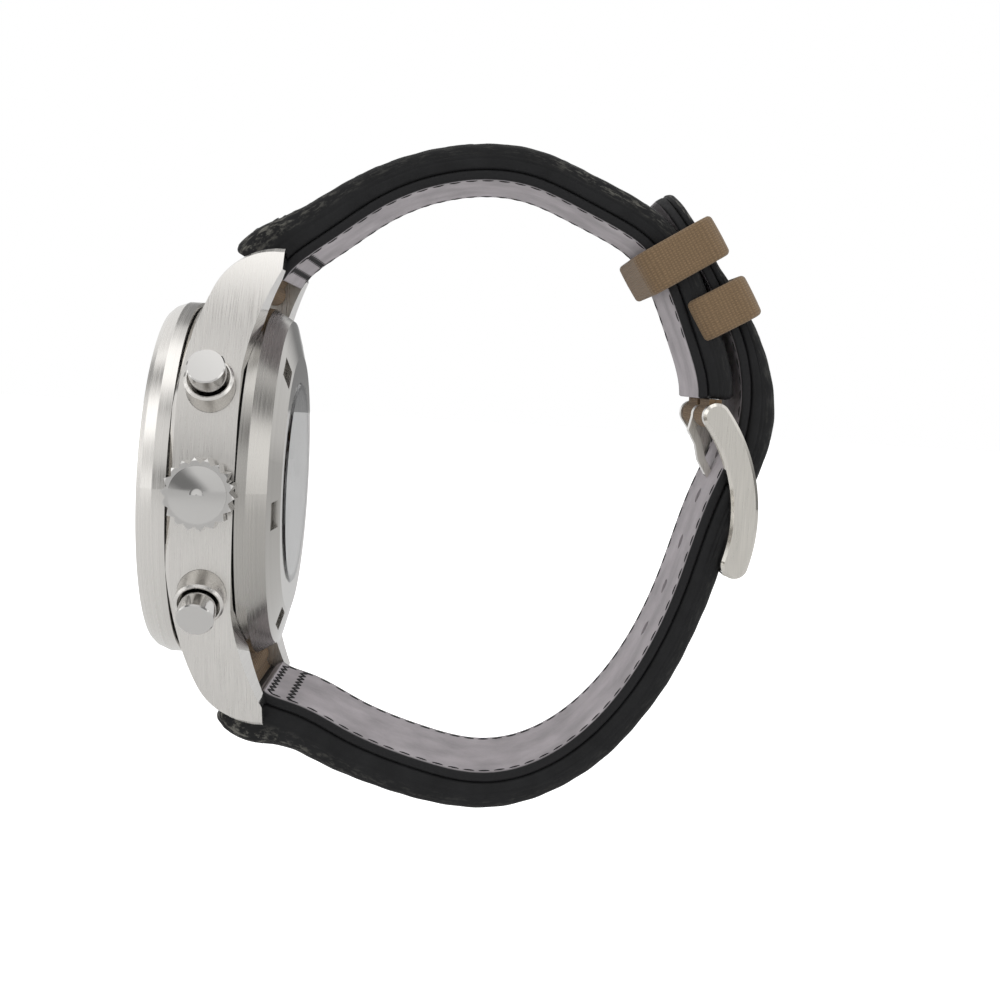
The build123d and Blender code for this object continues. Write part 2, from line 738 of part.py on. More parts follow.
# Main plate: recesses on the dial side, the stem bore and the pockets of the levers
setting_floor = setting_level - running_gap
setting_reach = setting_width / 2 + setting_pocket_margin
setting_pocket_inner = stem_groove_at - setting_reach
counter_hole = counter_arbor_radius + running_gap
with BuildPart() as main_plate:
    with BuildSketch(level(plate_bottom)):
        Circle(movement_radius)
    extrude(amount=dial_bottom - plate_bottom)
    with BuildSketch(level(dial_bottom)):
        Circle(date_disc_outer + date_groove_side_gap)
        Circle(date_disc_inner - date_groove_side_gap, mode=Mode.SUBTRACT)
    extrude(amount=-date_groove_depth, mode=Mode.SUBTRACT)
    with BuildSketch(level(dial_bottom)):
        with Locations(centre_at, (0, -subdial_distance)):
            Circle(counter_recess_radius)
    extrude(amount=counter_recess_floor - dial_bottom, mode=Mode.SUBTRACT)
    with BuildSketch(level(dial_bottom)):
        Circle(minute_tube_radius + running_gap)
        with Locations((0, subdial_distance), seconds_at):
            Circle(counter_hole)
    extrude(amount=plate_bottom - dial_bottom, mode=Mode.SUBTRACT)
    with BuildSketch(level(counter_recess_floor)):
        with Locations((0, -subdial_distance)):
            Circle(counter_hole)
    extrude(amount=-pivot_length, mode=Mode.SUBTRACT)
    with BuildSketch(level(plate_bottom)):
        with Locations(third_at, escape_at, fork_at, balance_at):
            Circle(pivot_radius + running_gap)
        with Locations(barrel_at):
            Circle(barrel_arbor_radius / 2 + running_gap)
    extrude(amount=pivot_length + running_gap, mode=Mode.SUBTRACT)
    with BuildSketch(out_level(0, stem_bore_end)):
        Circle(stem_bore_radius)
    extrude(amount=movement_radius - stem_bore_end + overrun, mode=Mode.SUBTRACT)
    with BuildSketch(level(setting_floor)):
        with Locations((setting_pocket_inner, -setting_reach)):
            Rectangle(movement_radius, setting_pivot[1] + 2 * setting_reach, align=(Align.MIN, Align.MIN))
    extrude(amount=dial_bottom - setting_floor, mode=Mode.SUBTRACT)
    with BuildSketch(level(0)):
        with Locations((stem_groove_at - stem_groove_width, 0)):
            Rectangle(crown_travel + 2 * stem_groove_width, setting_slot_width,
                      align=(Align.MIN, Align.CENTER))
    extrude(amount=setting_floor, mode=Mode.SUBTRACT)
    with BuildSketch(level(setting_floor, setting_pivot)):
        Circle(setting_post_radius)
    extrude(amount=setting_thickness + running_gap)
    for angle in pusher_angles:
        with BuildSketch(out_profile(angle)):
            with Locations((lever_pocket_inner, lever_pocket_top)):
                Rectangle(movement_radius, lever_pocket_top - plate_bottom + overrun,
                          align=(Align.MIN, Align.MAX))
        extrude(amount=lever_pocket_width / 2, both=True, mode=Mode.SUBTRACT)
save(main_plate, "main_plate")

with BuildPart() as movement_ring:
    with BuildSketch(level(holder_bottom)):
        Circle(case_bore_radius - running_gap)
        Circle(movement_radius + ring_gap, mode=Mode.SUBTRACT)
    extrude(amount=dial_bottom - running_gap - holder_bottom)
    with BuildSketch(out_level(0, movement_radius / 2)):
        Circle(holder_radial_hole)
    extrude(amount=case_bore_radius, mode=Mode.SUBTRACT)
    for angle in pusher_angles:
        with BuildSketch(out_profile(angle)):
            with Locations((lever_pocket_inner, lever_pocket_top)):
                Rectangle(case_bore_radius, lever_pocket_top - holder_bottom + overrun,
                          align=(Align.MIN, Align.MAX))
        extrude(amount=lever_pocket_width / 2, both=True, mode=Mode.SUBTRACT)
save(movement_ring, "movement_ring")

# Train: one wheel of each pair and the pinion that it drives share the distance between them
def pitch_pair(first, second, wheel_teeth, pinion_leaves):
    """Tip radii of a wheel and its pinion, just clear of each other."""
    distance = hypot(second[0] - first[0], second[1] - first[1]) - mesh_gap
    share = wheel_teeth / (wheel_teeth + pinion_leaves)
    return distance * share, distance * (1 - share)


barrel_tip, centre_pinion_tip = pitch_pair(barrel_at, centre_at, barrel_teeth, centre_leaves)
centre_tip, third_pinion_tip = pitch_pair(centre_at, third_at, centre_teeth, third_leaves)
third_tip, seconds_pinion_tip = pitch_pair(third_at, seconds_at, third_teeth, seconds_leaves)
seconds_tip, escape_pinion_tip = pitch_pair(seconds_at, escape_at, seconds_teeth, escape_leaves)
bridge_bottom = bridge_top - bridge_thickness
arbor_top = plate_bottom - running_gap
arbor_bottom = bridge_top + running_gap


def rod(low, high, place, radius):
    """A round rod along the dial axis, added to the piece being built."""
    with BuildSketch(level(low, place)) as section:
        Circle(radius)
    extrude(section.sketch, amount=high - low, dir=(-1, 0, 0))


def gear(low, place, count, tip_radius, thickness, depth_share):
    depth = depth_share * 2 * pi * tip_radius / count
    with BuildSketch(level(low, place)) as section:
        Polygon(*teeth_outline(count, tip_radius - depth, tip_radius))
    extrude(section.sketch, amount=thickness, dir=(-1, 0, 0))


def windows(low, place, inner, outer):
    """Cuts the openings between the spokes of a wheel."""
    with BuildSketch(level(low, place)) as section:
        Circle(outer)
        Circle(inner, mode=Mode.SUBTRACT)
        for index in range(spoke_count):
            Rectangle(outer + inner, spoke_width, rotation=index * 360 / spoke_count,
                      align=(Align.MIN, Align.CENTER), mode=Mode.SUBTRACT)
    extrude(section.sketch, amount=wheel_thickness, dir=(-1, 0, 0), mode=Mode.SUBTRACT)


def pivots(place, low, high):
    rod(low - pivot_length, high + pivot_length, place, pivot_radius)


with BuildPart() as third_wheel:
    gear(third_wheel_level, third_at, third_teeth, third_tip, wheel_thickness, tooth_depth_share)
    windows(third_wheel_level, third_at, wheel_hub, third_tip - wheel_rim)
    gear(centre_wheel_level - running_gap, third_at, third_leaves, third_pinion_tip,
         wheel_thickness + 2 * running_gap, tooth_depth_share)
    rod(arbor_bottom, arbor_top, third_at, arbor_radius)
    pivots(third_at, arbor_bottom, arbor_top)
save(third_wheel, "third_wheel")

with BuildPart() as seconds_wheel:
    gear(seconds_wheel_level, seconds_at, seconds_teeth, seconds_tip, wheel_thickness, tooth_depth_share)
    windows(seconds_wheel_level, seconds_at, wheel_hub, seconds_tip - wheel_rim)
    gear(third_wheel_level - running_gap, seconds_at, seconds_leaves, seconds_pinion_tip,
         wheel_thickness + 2 * running_gap, tooth_depth_share)
    rod(arbor_bottom, arbor_top, seconds_at, arbor_radius)
    pivots(seconds_at, arbor_bottom, arbor_top)
    rod(arbor_top, counter_hand_level + counter_hand_thickness, seconds_at, counter_arbor_radius)
save(seconds_wheel, "seconds_wheel")

with BuildPart() as centre_wheel:
    gear(centre_wheel_level, centre_at, centre_teeth, centre_tip, wheel_thickness, tooth_depth_share)
    windows(centre_wheel_level, centre_at, wheel_hub, centre_tip - wheel_rim)
    gear(barrel_level, centre_at, centre_leaves, centre_pinion_tip, barrel_height, tooth_depth_share)
    rod(arbor_bottom, minute_hand_level + hand_thickness, centre_at, minute_tube_radius)
    with BuildSketch(level(arbor_bottom)):
        Circle(minute_tube_bore)
    extrude(amount=minute_hand_level + hand_thickness - arbor_bottom, mode=Mode.SUBTRACT)
save(centre_wheel, "centre_wheel")

with BuildPart() as escape_wheel:
    gear(escape_wheel_level, escape_at, escape_teeth, escape_radius, wheel_thickness, tooth_depth_share)
    windows(escape_wheel_level, escape_at, arbor_radius + spoke_width / 2, escape_radius - wheel_rim)
    gear(seconds_wheel_level - running_gap, escape_at, escape_leaves, escape_pinion_tip,
         wheel_thickness + 2 * running_gap, tooth_depth_share)
    rod(arbor_bottom, arbor_top, escape_at, arbor_radius)
    pivots(escape_at, arbor_bottom, arbor_top)
save(escape_wheel, "escape_wheel")

# Barrel, open towards its bridge, with the mainspring wound in it round its arbor
barrel_bore = barrel_tip * (1 - 2 * pi * tooth_depth_share / barrel_teeth) - barrel_wall
with BuildPart() as barrel:
    gear(barrel_level, barrel_at, barrel_teeth, barrel_tip, barrel_height, tooth_depth_share)
    with BuildSketch(level(barrel_level, barrel_at)):
        Circle(barrel_bore)
    extrude(amount=barrel_height - barrel_floor, mode=Mode.SUBTRACT)
    rod(arbor_bottom, arbor_top, barrel_at, barrel_arbor_radius)
    rod(arbor_bottom - pivot_length, arbor_top + pivot_length, barrel_at, barrel_arbor_radius / 2)
save(barrel, "barrel")


def spiral_outline(inner, outer, turns, thickness):
    """A strip wound outwards at a steady rate, out along one side and back along the other."""
    steps = spiral_steps * turns
    out_side = []
    in_side = []
    for index in range(steps + 1):
        radius = inner + (outer - inner) * index / steps
        angle = 360 * index * turns / steps
        out_side.append(around(radius + thickness / 2, angle))
        in_side.append(around(radius - thickness / 2, angle))
    return out_side + in_side[::-1]


with BuildPart() as mainspring:
    with BuildSketch(level(barrel_level + running_gap, barrel_at)):
        Polygon(*spiral_outline(barrel_arbor_radius + mainspring_thickness,
                                barrel_bore - mainspring_thickness, mainspring_turns,
                                mainspring_thickness))
    extrude(amount=barrel_height - barrel_floor - 2 * running_gap)
save(mainspring, "mainspring")

# Pallet fork: the lever lies towards the balance, the pallets beside the escape wheel
def bearing_of(start, end):
    """Angle and distance from one place to another."""
    across, up = end[0] - start[0], end[1] - start[1]
    return degrees(atan2(up, across)), hypot(across, up)


fork_angle, fork_distance = bearing_of(fork_at, balance_at)
escape_angle = bearing_of(fork_at, escape_at)[0]
fork_length = fork_distance - roller_radius - roller_gap
with BuildPart() as pallet_fork:
    with BuildSketch(level(fork_level, fork_at)):
        Rectangle(fork_length, fork_width, rotation=fork_angle, align=(Align.MIN, Align.CENTER))
        Rectangle(fork_width, 2 * pallet_spread, rotation=escape_angle)
        for side in (1, -1):
            with Locations(Location((0, 0, 0), (0, 0, escape_angle))):
                with Locations((0, side * (pallet_spread - pallet_width / 2))):
                    Rectangle(pallet_reach, pallet_width, align=(Align.MIN, Align.CENTER))
        Circle(wheel_hub / 2)
    extrude(amount=fork_thickness)
    rod(arbor_bottom, arbor_top, fork_at, arbor_radius)
    pivots(fork_at, arbor_bottom, arbor_top)
save(pallet_fork, "pallet_fork")

# Balance on its staff, with the roller at the fork; its upper pivot is in the cock
cock_top = bridge_top - balance_cock_rise
cock_bottom = cock_top - bridge_thickness
with BuildPart() as balance_wheel:
    with BuildSketch(level(balance_level, balance_at)):
        Circle(balance_radius)
        Circle(balance_radius - balance_rim, mode=Mode.SUBTRACT)
        Rectangle(2 * balance_radius - balance_rim, spoke_width)
        Circle(wheel_hub / 2)
    extrude(amount=balance_thickness)
    rod(fork_level, fork_level + fork_thickness, balance_at, roller_radius)
    rod(cock_top + running_gap, arbor_top, balance_at, arbor_radius)
    pivots(balance_at, cock_top + running_gap, arbor_top)
save(balance_wheel, "balance_wheel")

with BuildPart() as hairspring:
    with BuildSketch(level(hairspring_level, balance_at)):
        Polygon(*spiral_outline(hairspring_inner, hairspring_outer, hairspring_turns,
                                hairspring_thickness))
    extrude(amount=hairspring_height)
save(hairspring, "hairspring")


# Bridges, with rim feet down to the plate, pivot holes and seats for the jewels
def pivot_seat(bottom, place):
    """Cuts a pivot hole through a bridge and the seat of its jewel in the outer face."""
    with BuildSketch(level(bottom, place)) as hole:
        Circle(pivot_radius + running_gap)
    extrude(hole.sketch, amount=bridge_thickness, dir=(-1, 0, 0), mode=Mode.SUBTRACT)
    with BuildSketch(level(bottom, place)) as seat:
        Circle(jewel_radius + seat_gap)
    extrude(seat.sketch, amount=jewel_thickness, dir=(-1, 0, 0), mode=Mode.SUBTRACT)


def screw_hole(bottom, place):
    with BuildSketch(level(bottom, place)) as hole:
        Circle(screw_shank_radius + seat_gap)
    extrude(hole.sketch, amount=bridge_thickness, dir=(-1, 0, 0), mode=Mode.SUBTRACT)


def lever_pockets(low, high):
    for angle in pusher_angles:
        with BuildSketch(out_profile(angle)) as pocket:
            with Locations((lever_pocket_inner, low)):
                Rectangle(movement_radius, high - low, align=(Align.MIN, Align.MIN))
        extrude(pocket.sketch, amount=lever_pocket_width / 2, both=True, mode=Mode.SUBTRACT)


lever_pivots = (lever_pivot, (lever_pivot[0], -lever_pivot[1]))
with BuildPart() as barrel_bridge:
    with BuildSketch(level(bridge_bottom)):
        Circle(bridge_radius)
        with Locations((bridge_split + bridge_gap / 2, 0)):
            Rectangle(2 * bridge_radius, 2 * bridge_radius, align=(Align.MIN, Align.CENTER),
                      mode=Mode.INTERSECT)
    extrude(amount=bridge_thickness)
    with BuildSketch(level(bridge_top)):
        Circle(bridge_radius)
        Circle(bridge_radius - bridge_rim, mode=Mode.SUBTRACT)
        with Locations((bridge_split + bridge_gap / 2, 0)):
            Rectangle(2 * bridge_radius, 2 * bridge_radius, align=(Align.MIN, Align.CENTER),
                      mode=Mode.INTERSECT)
    extrude(amount=plate_bottom - bridge_top)
    with BuildSketch(level(bridge_bottom)):
        with Locations((cock_foot_x, cock_foot_y)):
            Rectangle(cock_foot_length + 2 * bridge_gap, cock_foot_width + 2 * bridge_gap)
        Circle(chrono_arbor_radius + running_gap)
        with Locations((0, subdial_distance)):
            Circle(counter_hole)
        with Locations(barrel_at):
            Circle(barrel_arbor_radius / 2 + running_gap)
    extrude(amount=plate_bottom - bridge_bottom, mode=Mode.SUBTRACT)
    lever_pockets(bridge_bottom, plate_bottom)
    for angle in barrel_bridge_screws:
        screw_hole(bridge_bottom, around(screw_ring_radius, angle))
    for place in lever_pivots:
        rod(lever_level, bridge_bottom, place, lever_pivot_radius - running_gap)
save(barrel_bridge, "barrel_bridge")

with BuildPart() as train_bridge:
    with BuildSketch(level(bridge_bottom)):
        Circle(bridge_radius)
        with Locations((bridge_split - bridge_gap / 2, train_bridge_foot)):
            Rectangle(2 * bridge_radius, 2 * bridge_radius, align=(Align.MAX, Align.MIN),
                      mode=Mode.INTERSECT)
    extrude(amount=bridge_thickness)
    with BuildSketch(level(bridge_top)):
        Circle(bridge_radius)
        Circle(bridge_radius - bridge_rim, mode=Mode.SUBTRACT)
        with Locations((bridge_split - bridge_gap / 2, train_bridge_foot)):
            Rectangle(2 * bridge_radius, 2 * bridge_radius, align=(Align.MAX, Align.MIN),
                      mode=Mode.INTERSECT)
        with Locations(escape_at):
            Circle(escape_radius + bridge_gap, mode=Mode.SUBTRACT)
    extrude(amount=plate_bottom - bridge_top)
    with BuildSketch(level(bridge_bottom, balance_at)):
        Circle(balance_cutout_radius)
    extrude(amount=bridge_thickness, mode=Mode.SUBTRACT)
    for place in (third_at, seconds_at, escape_at, fork_at):
        pivot_seat(bridge_bottom, place)
    for angle in train_bridge_screws:
        screw_hole(bridge_bottom, around(screw_ring_radius, angle))
save(train_bridge, "train_bridge")

cock_angle, cock_length = bearing_of((cock_foot_x, cock_foot_y), balance_at)
with BuildPart() as balance_cock:
    with BuildSketch(level(cock_bottom)):
        with Locations((cock_foot_x, cock_foot_y)):
            Rectangle(cock_foot_length, cock_foot_width)
            Rectangle(cock_length, balance_cock_width, rotation=cock_angle,
                      align=(Align.MIN, Align.CENTER))
        with Locations(balance_at):
            Circle(balance_cock_width / 2)
        Circle(bridge_radius, mode=Mode.INTERSECT)
    extrude(amount=bridge_thickness)
    with BuildSketch(level(cock_top, (cock_foot_x, cock_foot_y))):
        Rectangle(cock_foot_length, cock_foot_width)
    extrude(amount=plate_bottom - cock_top)
    pivot_seat(cock_bottom, balance_at)
    screw_hole(cock_bottom, (cock_foot_x, cock_foot_y))
save(balance_cock, "balance_cock")

rotor_bridge_top = rotor_bridge_level + rotor_bridge_thickness
with BuildPart() as rotor_bridge:
    with BuildSketch(level(rotor_bridge_level)):
        Rectangle(2 * bridge_radius, rotor_bridge_width, rotation=rotor_bridge_angle)
        Circle(bridge_radius, mode=Mode.INTERSECT)
    extrude(amount=rotor_bridge_thickness)
    with BuildSketch(level(rotor_bridge_top)):
        Rectangle(2 * bridge_radius, rotor_bridge_width, rotation=rotor_bridge_angle)
        Circle(bridge_radius, mode=Mode.INTERSECT)
        Circle(bridge_radius - bridge_rim, mode=Mode.SUBTRACT)
    extrude(amount=bridge_bottom - rotor_bridge_top)
save(rotor_bridge, "rotor_bridge")

jewel_places = [(third_at, bridge_bottom), (seconds_at, bridge_bottom), (escape_at, bridge_bottom),
                (fork_at, bridge_bottom), (balance_at, cock_bottom)]
with BuildPart() as jewels:
    for place, bottom in jewel_places:
        with BuildSketch(level(bottom, place)):
            Circle(jewel_radius)
            Circle(pivot_radius + running_gap, mode=Mode.SUBTRACT)
        extrude(amount=jewel_thickness)
save(jewels, "jewels")

screw_places = [(around(screw_ring_radius, angle), bridge_bottom)
                for angle in barrel_bridge_screws + train_bridge_screws]
screw_places.append(((cock_foot_x, cock_foot_y), cock_bottom))
with BuildPart() as movement_screws:
    for place, face in screw_places:
        with BuildSketch(level(face - screw_head_height, place)):
            Circle(screw_head_radius)
        extrude(amount=screw_head_height)
        with BuildSketch(level(face, place)):
            Circle(screw_shank_radius)
        extrude(amount=bridge_thickness)
        with BuildSketch(level(face - screw_head_height, place)):
            Rectangle(2 * screw_head_radius, screw_slot)
        extrude(amount=screw_slot_depth, mode=Mode.SUBTRACT)
save(movement_screws, "movement_screws")

# Rotor: half a disc with a heavy rim, hanging down, on the bearing that its bridge carries
rotor_bearing_low = rotor_plate_level - running_gap - wheel_thickness
with BuildPart() as rotor_bearing:
    rod(rotor_bearing_low, rotor_bridge_level, centre_at, rotor_bearing_radius)
    rod(rotor_bearing_low, rotor_plate_level - running_gap, centre_at, rotor_hub_radius - running_gap)
save(rotor_bearing, "rotor_bearing")

with BuildPart() as rotor:
    with BuildSketch(level(rotor_plate_level)):
        Circle(rotor_radius)
        Rectangle(2 * rotor_radius, rotor_radius, align=(Align.CENTER, Align.MAX),
                  mode=Mode.INTERSECT)
        Circle(rotor_hub_radius)
        for turn in (-1, 0, 1):
            middle = -90 + turn * (rotor_window_angle + rotor_spoke_angle)
            start = middle - rotor_window_angle / 2
            with BuildLine():
                outer_side = CenterArc((0, 0), rotor_window_outer, start, rotor_window_angle)
                inner_side = CenterArc((0, 0), rotor_window_inner, start, rotor_window_angle)
                Line(outer_side @ 0, inner_side @ 0)
                Line(outer_side @ 1, inner_side @ 1)
            make_face(mode=Mode.SUBTRACT)
        Circle(rotor_bore_radius, mode=Mode.SUBTRACT)
    extrude(amount=rotor_plate_thickness)
    with BuildSketch(level(rotor_rim_level)):
        Circle(rotor_radius)
        Circle(rotor_rim_inner, mode=Mode.SUBTRACT)
        Rectangle(2 * rotor_radius, rotor_radius, align=(Align.CENTER, Align.MAX),
                  mode=Mode.INTERSECT)
    extrude(amount=rotor_plate_level - rotor_rim_level)
save(rotor, "rotor")

# Chronograph wheels; the hour counter turns in its recess on the dial side
with BuildPart() as chrono_wheel:
    gear(chrono_level, centre_at, chrono_teeth, chrono_wheel_radius, wheel_thickness, tooth_depth_share)
    windows(chrono_level, centre_at, wheel_hub, chrono_wheel_radius - wheel_rim)
    rod(chrono_level - arbor_end, chrono_hand_level + counter_hand_thickness, centre_at,
        chrono_arbor_radius)
save(chrono_wheel, "chrono_wheel")

minute_counter_at = (0, subdial_distance)
hour_counter_at = (0, -subdial_distance)
with BuildPart() as minute_counter_wheel:
    gear(chrono_level, minute_counter_at, chrono_teeth // 2, minute_counter_radius, wheel_thickness,
         tooth_depth_share)
    windows(chrono_level, minute_counter_at, wheel_hub, minute_counter_radius - wheel_rim)
    rod(chrono_level - arbor_end, counter_hand_level + counter_hand_thickness, minute_counter_at,
        counter_arbor_radius)
save(minute_counter_wheel, "minute_counter_wheel")

with BuildPart() as hour_counter_wheel:
    gear(hour_counter_level, hour_counter_at, chrono_teeth // 2, hour_counter_radius, wheel_thickness,
         tooth_depth_share)
    rod(counter_recess_floor - pivot_length + running_gap,
        counter_hand_level + counter_hand_thickness, hour_counter_at, counter_arbor_radius)
save(hour_counter_wheel, "hour_counter_wheel")

with BuildPart() as hour_wheel:
    gear(hour_wheel_level, centre_at, hour_wheel_teeth, hour_wheel_radius, wheel_thickness,
         tooth_depth_share)
    rod(hour_wheel_level, hour_hand_level + hand_thickness, centre_at, hour_tube_radius)
    with BuildSketch(level(hour_wheel_level)):
        Circle(hour_tube_bore)
    extrude(amount=hour_hand_level + hand_thickness - hour_wheel_level, mode=Mode.SUBTRACT)
save(hour_wheel, "hour_wheel")


# Hands: a blade that widens to a shoulder and then points, on a boss over its tube
def blade_hand(name, height, length, width, bore, turn):
    with BuildPart() as piece:
        with BuildSketch(level(height)):
            Polygon((-width * hand_root_share / 2, 0), (-width / 2, length * hand_shoulder_share),
                    (0, length), (width / 2, length * hand_shoulder_share),
                    (width * hand_root_share / 2, 0), rotation=-turn)
            Circle(hand_boss_radius)
            Circle(bore + seat_gap, mode=Mode.SUBTRACT)
        extrude(amount=hand_thickness)
    save(piece, name)


def needle_hand(name, height, place, sizes, bore):
    length, tail, width, boss = sizes
    with BuildPart() as piece:
        with BuildSketch(level(height, place)):
            Polygon((-width / 2, -tail), (-width * needle_tip_share / 2, length),
                    (width * needle_tip_share / 2, length), (width / 2, -tail))
            Circle(boss)
            Circle(bore + seat_gap, mode=Mode.SUBTRACT)
        extrude(amount=counter_hand_thickness)
    save(piece, name)


hour_turn = 360 * (rest_hour + rest_minute / dial_minutes) / dial_hours
minute_turn = 360 * rest_minute / dial_minutes
blade_hand("hour_hand", hour_hand_level, hour_hand_length, hour_hand_width, hour_tube_radius, hour_turn)
blade_hand("minute_hand", minute_hand_level, minute_hand_length, minute_hand_width,
           minute_tube_radius, minute_turn)
needle_hand("chrono_hand", chrono_hand_level, centre_at,
            (chrono_hand_length, chrono_tail_length, chrono_hand_width, chrono_boss_radius),
            chrono_arbor_radius)
counter_sizes = (counter_hand_length, counter_tail_length, counter_hand_width, counter_boss_radius)
needle_hand("small_seconds_hand", counter_hand_level, seconds_at, counter_sizes, counter_arbor_radius)
needle_hand("minute_counter_hand", counter_hand_level, minute_counter_at, counter_sizes,
            counter_arbor_radius)
needle_hand("hour_counter_hand", counter_hand_level, hour_counter_at, counter_sizes,
            counter_arbor_radius)

def bar_between(start, end, width):
    """A bar with round ends from one point to another, added to the sketch."""
    middle = ((start[0] + end[0]) / 2, (start[1] + end[1]) / 2)
    SlotCenterPoint(middle, end, width)


# Setting lever: its pin stands in the groove of the stem
with BuildPart() as setting_lever:
    with BuildSketch(level(setting_level)):
        bar_between(setting_pivot, (stem_groove_at, 0), setting_width)
        with Locations(setting_pivot):
            Circle(setting_post_radius + running_gap, mode=Mode.SUBTRACT)
    extrude(amount=setting_thickness)
    with BuildSketch(level(stem_groove_radius + running_gap, (stem_groove_at, 0))):
        Circle(setting_pin_radius)
    extrude(amount=setting_level - stem_groove_radius - running_gap)
save(setting_lever, "setting_lever")

# Start and reset levers: from the tab that a pusher meets, round the pivot, to the nose
for side, use in ((1, "start"), (-1, "reset")):
    pivot = (lever_pivot[0], side * lever_pivot[1])
    nose = (lever_nose[0], side * lever_nose[1])
    tab = around(lever_tab_radius, side * pusher_angle)
    with BuildPart() as lever:
        with BuildSketch(level(lever_level)):
            for end in (tab, nose):
                bar_between(pivot, end, lever_width)
            with Locations(pivot):
                Circle(lever_pivot_radius, mode=Mode.SUBTRACT)
            Circle(lever_tab_radius + lever_tab_thickness / 2, mode=Mode.INTERSECT)
        extrude(amount=lever_thickness)
        with BuildSketch(out_level(side * pusher_angle, lever_tab_radius - lever_tab_thickness / 2)):
            with Locations((lever_tab_top, 0)):
                Rectangle(lever_tab_top - lever_level, lever_tab_width, align=(Align.MAX, Align.CENTER))
        extrude(amount=lever_tab_thickness)
    save(lever, use + "_lever")

# Spring bars in the lugs, and the bar of the buckle
bar_x = -wrist_reach - lug_bar_height
bar_places = [(bar_x, lug_bar_reach), (bar_x, -lug_bar_reach)]
buckle_bar_at = (buckle_bar_shares[0] * loop_width, buckle_bar_shares[1] * loop_height)
arm_inner = buckle_width / 2 + arm_gap


def stepped_bar(place, body, tip):
    """A bar across the strap, thinner at both ends."""
    for radius, reach in ((bar_radius, body), (bar_tip_radius, tip)):
        with BuildSketch(Plane.XZ) as section:
            with Locations(place):
                Circle(radius)
        extrude(section.sketch, amount=reach, both=True)


with BuildPart() as spring_bars:
    for place in bar_places:
        stepped_bar(place, lug_gap_width / 2 - bar_end_gap,
                    lug_gap_width / 2 + bar_tip_length - bar_end_gap)
save(spring_bars, "spring_bars")

with BuildPart() as buckle_bar:
    stepped_bar(buckle_bar_at, arm_inner - bar_end_gap, arm_inner + bar_tip_length - bar_end_gap)
save(buckle_bar, "buckle_bar")

# Routes through the middle of each strap half, from the lugs round the wrist
end_gap = bar_radius + loop_wall + strap_end_gap
top_points = [(bar_x + lug_end_offset, lug_bar_reach + end_gap)]
tail_points = [(bar_x + lug_end_offset, -lug_bar_reach - end_gap)]
for points, shares in ((top_points, top_route_shares), (tail_points, tail_route_shares)):
    for across, up in shares:
        points.append((across * loop_width, up * loop_height))
top_points.append((buckle_bar_at[0], buckle_bar_at[1] + end_gap))
with BuildLine() as top_line:
    Spline(*top_points, tangents=((lug_end_offset, end_gap), (0, -1)))
tail_way = Vector(*tail_points[-1]) - Vector(*tail_points[-2])
with BuildLine() as tail_line:
    Spline(*tail_points, tangents=((lug_end_offset, -end_gap), tail_way))
top_route = top_line.edge()
tail_route = tail_line.edge()


def between(share, limits, before, after):
    """A size that changes steadily between two shares of a route."""
    part = (share - limits[0]) / (limits[1] - limits[0])
    return before + min(max(part, 0), 1) * (after - before)


def strap_thickness_at(route, share):
    thickness = between(share, lug_thin_shares, lug_end_thickness, strap_thickness)
    if route is tail_route:
        thickness += between(share, tail_thin_shares, 0, tail_tip_thickness - strap_thickness)
    return thickness


def beside(route, share, offset):
    """A point off a route, away from the wrist for positive offsets."""
    way = route % share
    turn = 1 if route is top_route else -1
    return route @ share + Vector(-way.Y, way.X) * turn * offset


def strap_layer(route, stations, upper, lower):
    """One layer of a strap half, between two depths below its outer face."""
    faces = []
    for depth in (upper, lower):
        points = []
        for share in stations:
            thickness = strap_thickness_at(route, share)
            points.append(beside(route, share, thickness / 2 - depth(thickness)))
        faces.append(points)
    with BuildPart() as layer:
        with BuildSketch(Plane.XZ):
            with BuildLine():
                near = Spline(*faces[0])
                far = Spline(*faces[1])
                Line(near @ 0, far @ 0)
                Line(near @ 1, far @ 1)
            make_face()
        extrude(amount=strap_width, both=True)
        with BuildSketch(Plane.XY.offset(-loop_height)):
            Polygon((-wrist_reach, strap_width / 2), (wrist_reach, buckle_width / 2),
                    (wrist_reach, -buckle_width / 2), (-wrist_reach, -strap_width / 2))
        extrude(amount=2 * loop_height, mode=Mode.INTERSECT)
    return layer.part


def whole(thickness):
    return 0


def to_lining(thickness):
    return thickness - lining_thickness


def to_wrist(thickness):
    return thickness


def rounded_tip(piece):
    """Rounds the corners of the tail, seen on the flat."""
    tip = Vector(tail_points[-1][0], 0, tail_points[-1][1])
    corners = piece.edges().filter_by(lambda edge: edge.length < tail_tip_thickness)
    corners = corners.filter_by(lambda edge: abs(edge.center().Y) > buckle_width / 2 - tail_tip_radius)
    fillet(corners.sort_by_distance(tip)[:2], radius=tail_tip_radius)


